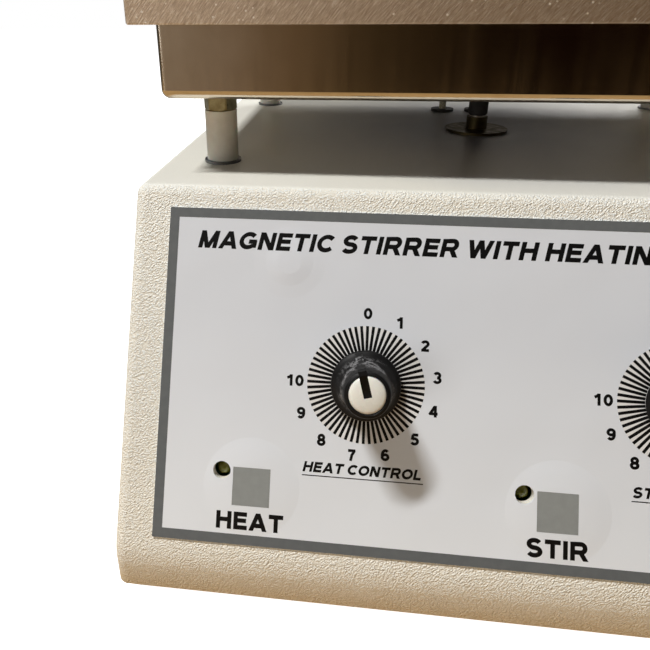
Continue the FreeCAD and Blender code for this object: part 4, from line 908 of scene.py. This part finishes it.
def dim_room(n):
    """Room in front of the machine: warm grey on the left, black on the right."""
    return n.ramp(n.add_up(n.times(n.coordinate("X"), 0.5), 0.5),
                  [(0.28, linear(150, 134, 116)), (0.37, linear(134, 116, 98)), (0.42, linear(104, 82, 58)),
                   (0.47, linear(60, 46, 28)), (0.56, linear(13, 3, 1))])


def card_corners(axis, at, start, end):
    """Corners of an upright card that stands across an axis, from start to end along the other."""
    sides = [(start, CARD_LOW), (end, CARD_LOW), (end, CARD_HIGH), (start, CARD_HIGH)]
    return [(along, at, z) if axis == "Y" else (at, along, z) for along, z in sides]


def reflections():
    """What the polished pan mirrors on each side."""
    reflection_card("front_card", card_corners("Y", -0.75, -1.2, 1.4), dim_room)
    reflection_card("back_card", card_corners("Y", 0.9, -1.2, 1.2), linear(84, 82, 80))
    reflection_card("left_card", card_corners("X", -1.25, -0.7, 0.85), linear(74, 68, 60))
    reflection_card("right_card", card_corners("X", 1.25, -0.7, 0.85), linear(120, 117, 112))


def level_corners(size, height):
    return [(*corner, height) for corner in rectangle(0, 0, size, size)]


def area_light(name, place, aim, width, length, power, color):
    data = bpy.data.lights.new(name, "AREA")
    data.shape = "RECTANGLE"
    data.size = width
    data.size_y = length
    data.energy = power
    data.color = color
    obj = bpy.data.objects.new(name, data)
    turn = (Vector(aim) - Vector(place)).to_track_quat("-Z", "Y")
    obj.matrix_world = Matrix.Translation(place) @ turn.to_matrix().to_4x4()
    bpy.context.scene.collection.objects.link(obj)


def surrounding_air():
    """Plain white for the eye, and a weak warm fill for everything else."""
    world = bpy.data.worlds.new("studio")
    world.use_nodes = True
    tree = world.node_tree
    fill = tree.nodes["Background"]
    fill.inputs["Color"].default_value = (1.0, 0.97, 0.93, 1.0)
    fill.inputs["Strength"].default_value = 0.07
    white = tree.nodes.new("ShaderNodeBackground")
    white.inputs["Color"].default_value = grey(1.0)
    path = tree.nodes.new("ShaderNodeLightPath")
    mix = tree.nodes.new("ShaderNodeMixShader")
    tree.links.new(path.outputs["Is Camera Ray"], mix.inputs["Fac"])
    tree.links.new(fill.outputs["Background"], mix.inputs[1])
    tree.links.new(white.outputs["Background"], mix.inputs[2])
    tree.links.new(mix.outputs["Shader"], tree.nodes["World Output"].inputs["Surface"])
    bpy.context.scene.world = world


def surroundings():
    """Pale floor for the eye, a table top just below it for bounce and reflections, lamps and cards."""
    floor = sheet("floor", level_corners(FLOOR_SIZE, 0), floor_surface())
    hide_from(floor, "diffuse", "glossy", "transmission")
    bounce = sheet("table_bounce", level_corners(FLOOR_SIZE, TABLE_HEIGHT), table_surface())
    hide_from(bounce, "camera")
    surrounding_air()
    for lamp in LAMPS:
        area_light(*lamp)
    reflections()


def camera():
    data = bpy.data.cameras.new("camera")
    data.lens = CAMERA_LENS
    data.sensor_width = CAMERA_SENSOR
    data.shift_x, data.shift_y = CAMERA_SHIFT
    data.clip_start = 0.01
    obj = bpy.data.objects.new("camera", data)
    obj.location = CAMERA_PLACE
    obj.rotation_euler = Euler([math.radians(angle) for angle in CAMERA_TURN], "XYZ")
    bpy.context.scene.collection.objects.link(obj)
    bpy.context.scene.camera = obj


camera()
surroundings()
dress_nodes()
print_border()
print_labels()
for control in CONTROLS:
    make_knob(control)
bpy.context.scene.view_settings.view_transform = "Standard"
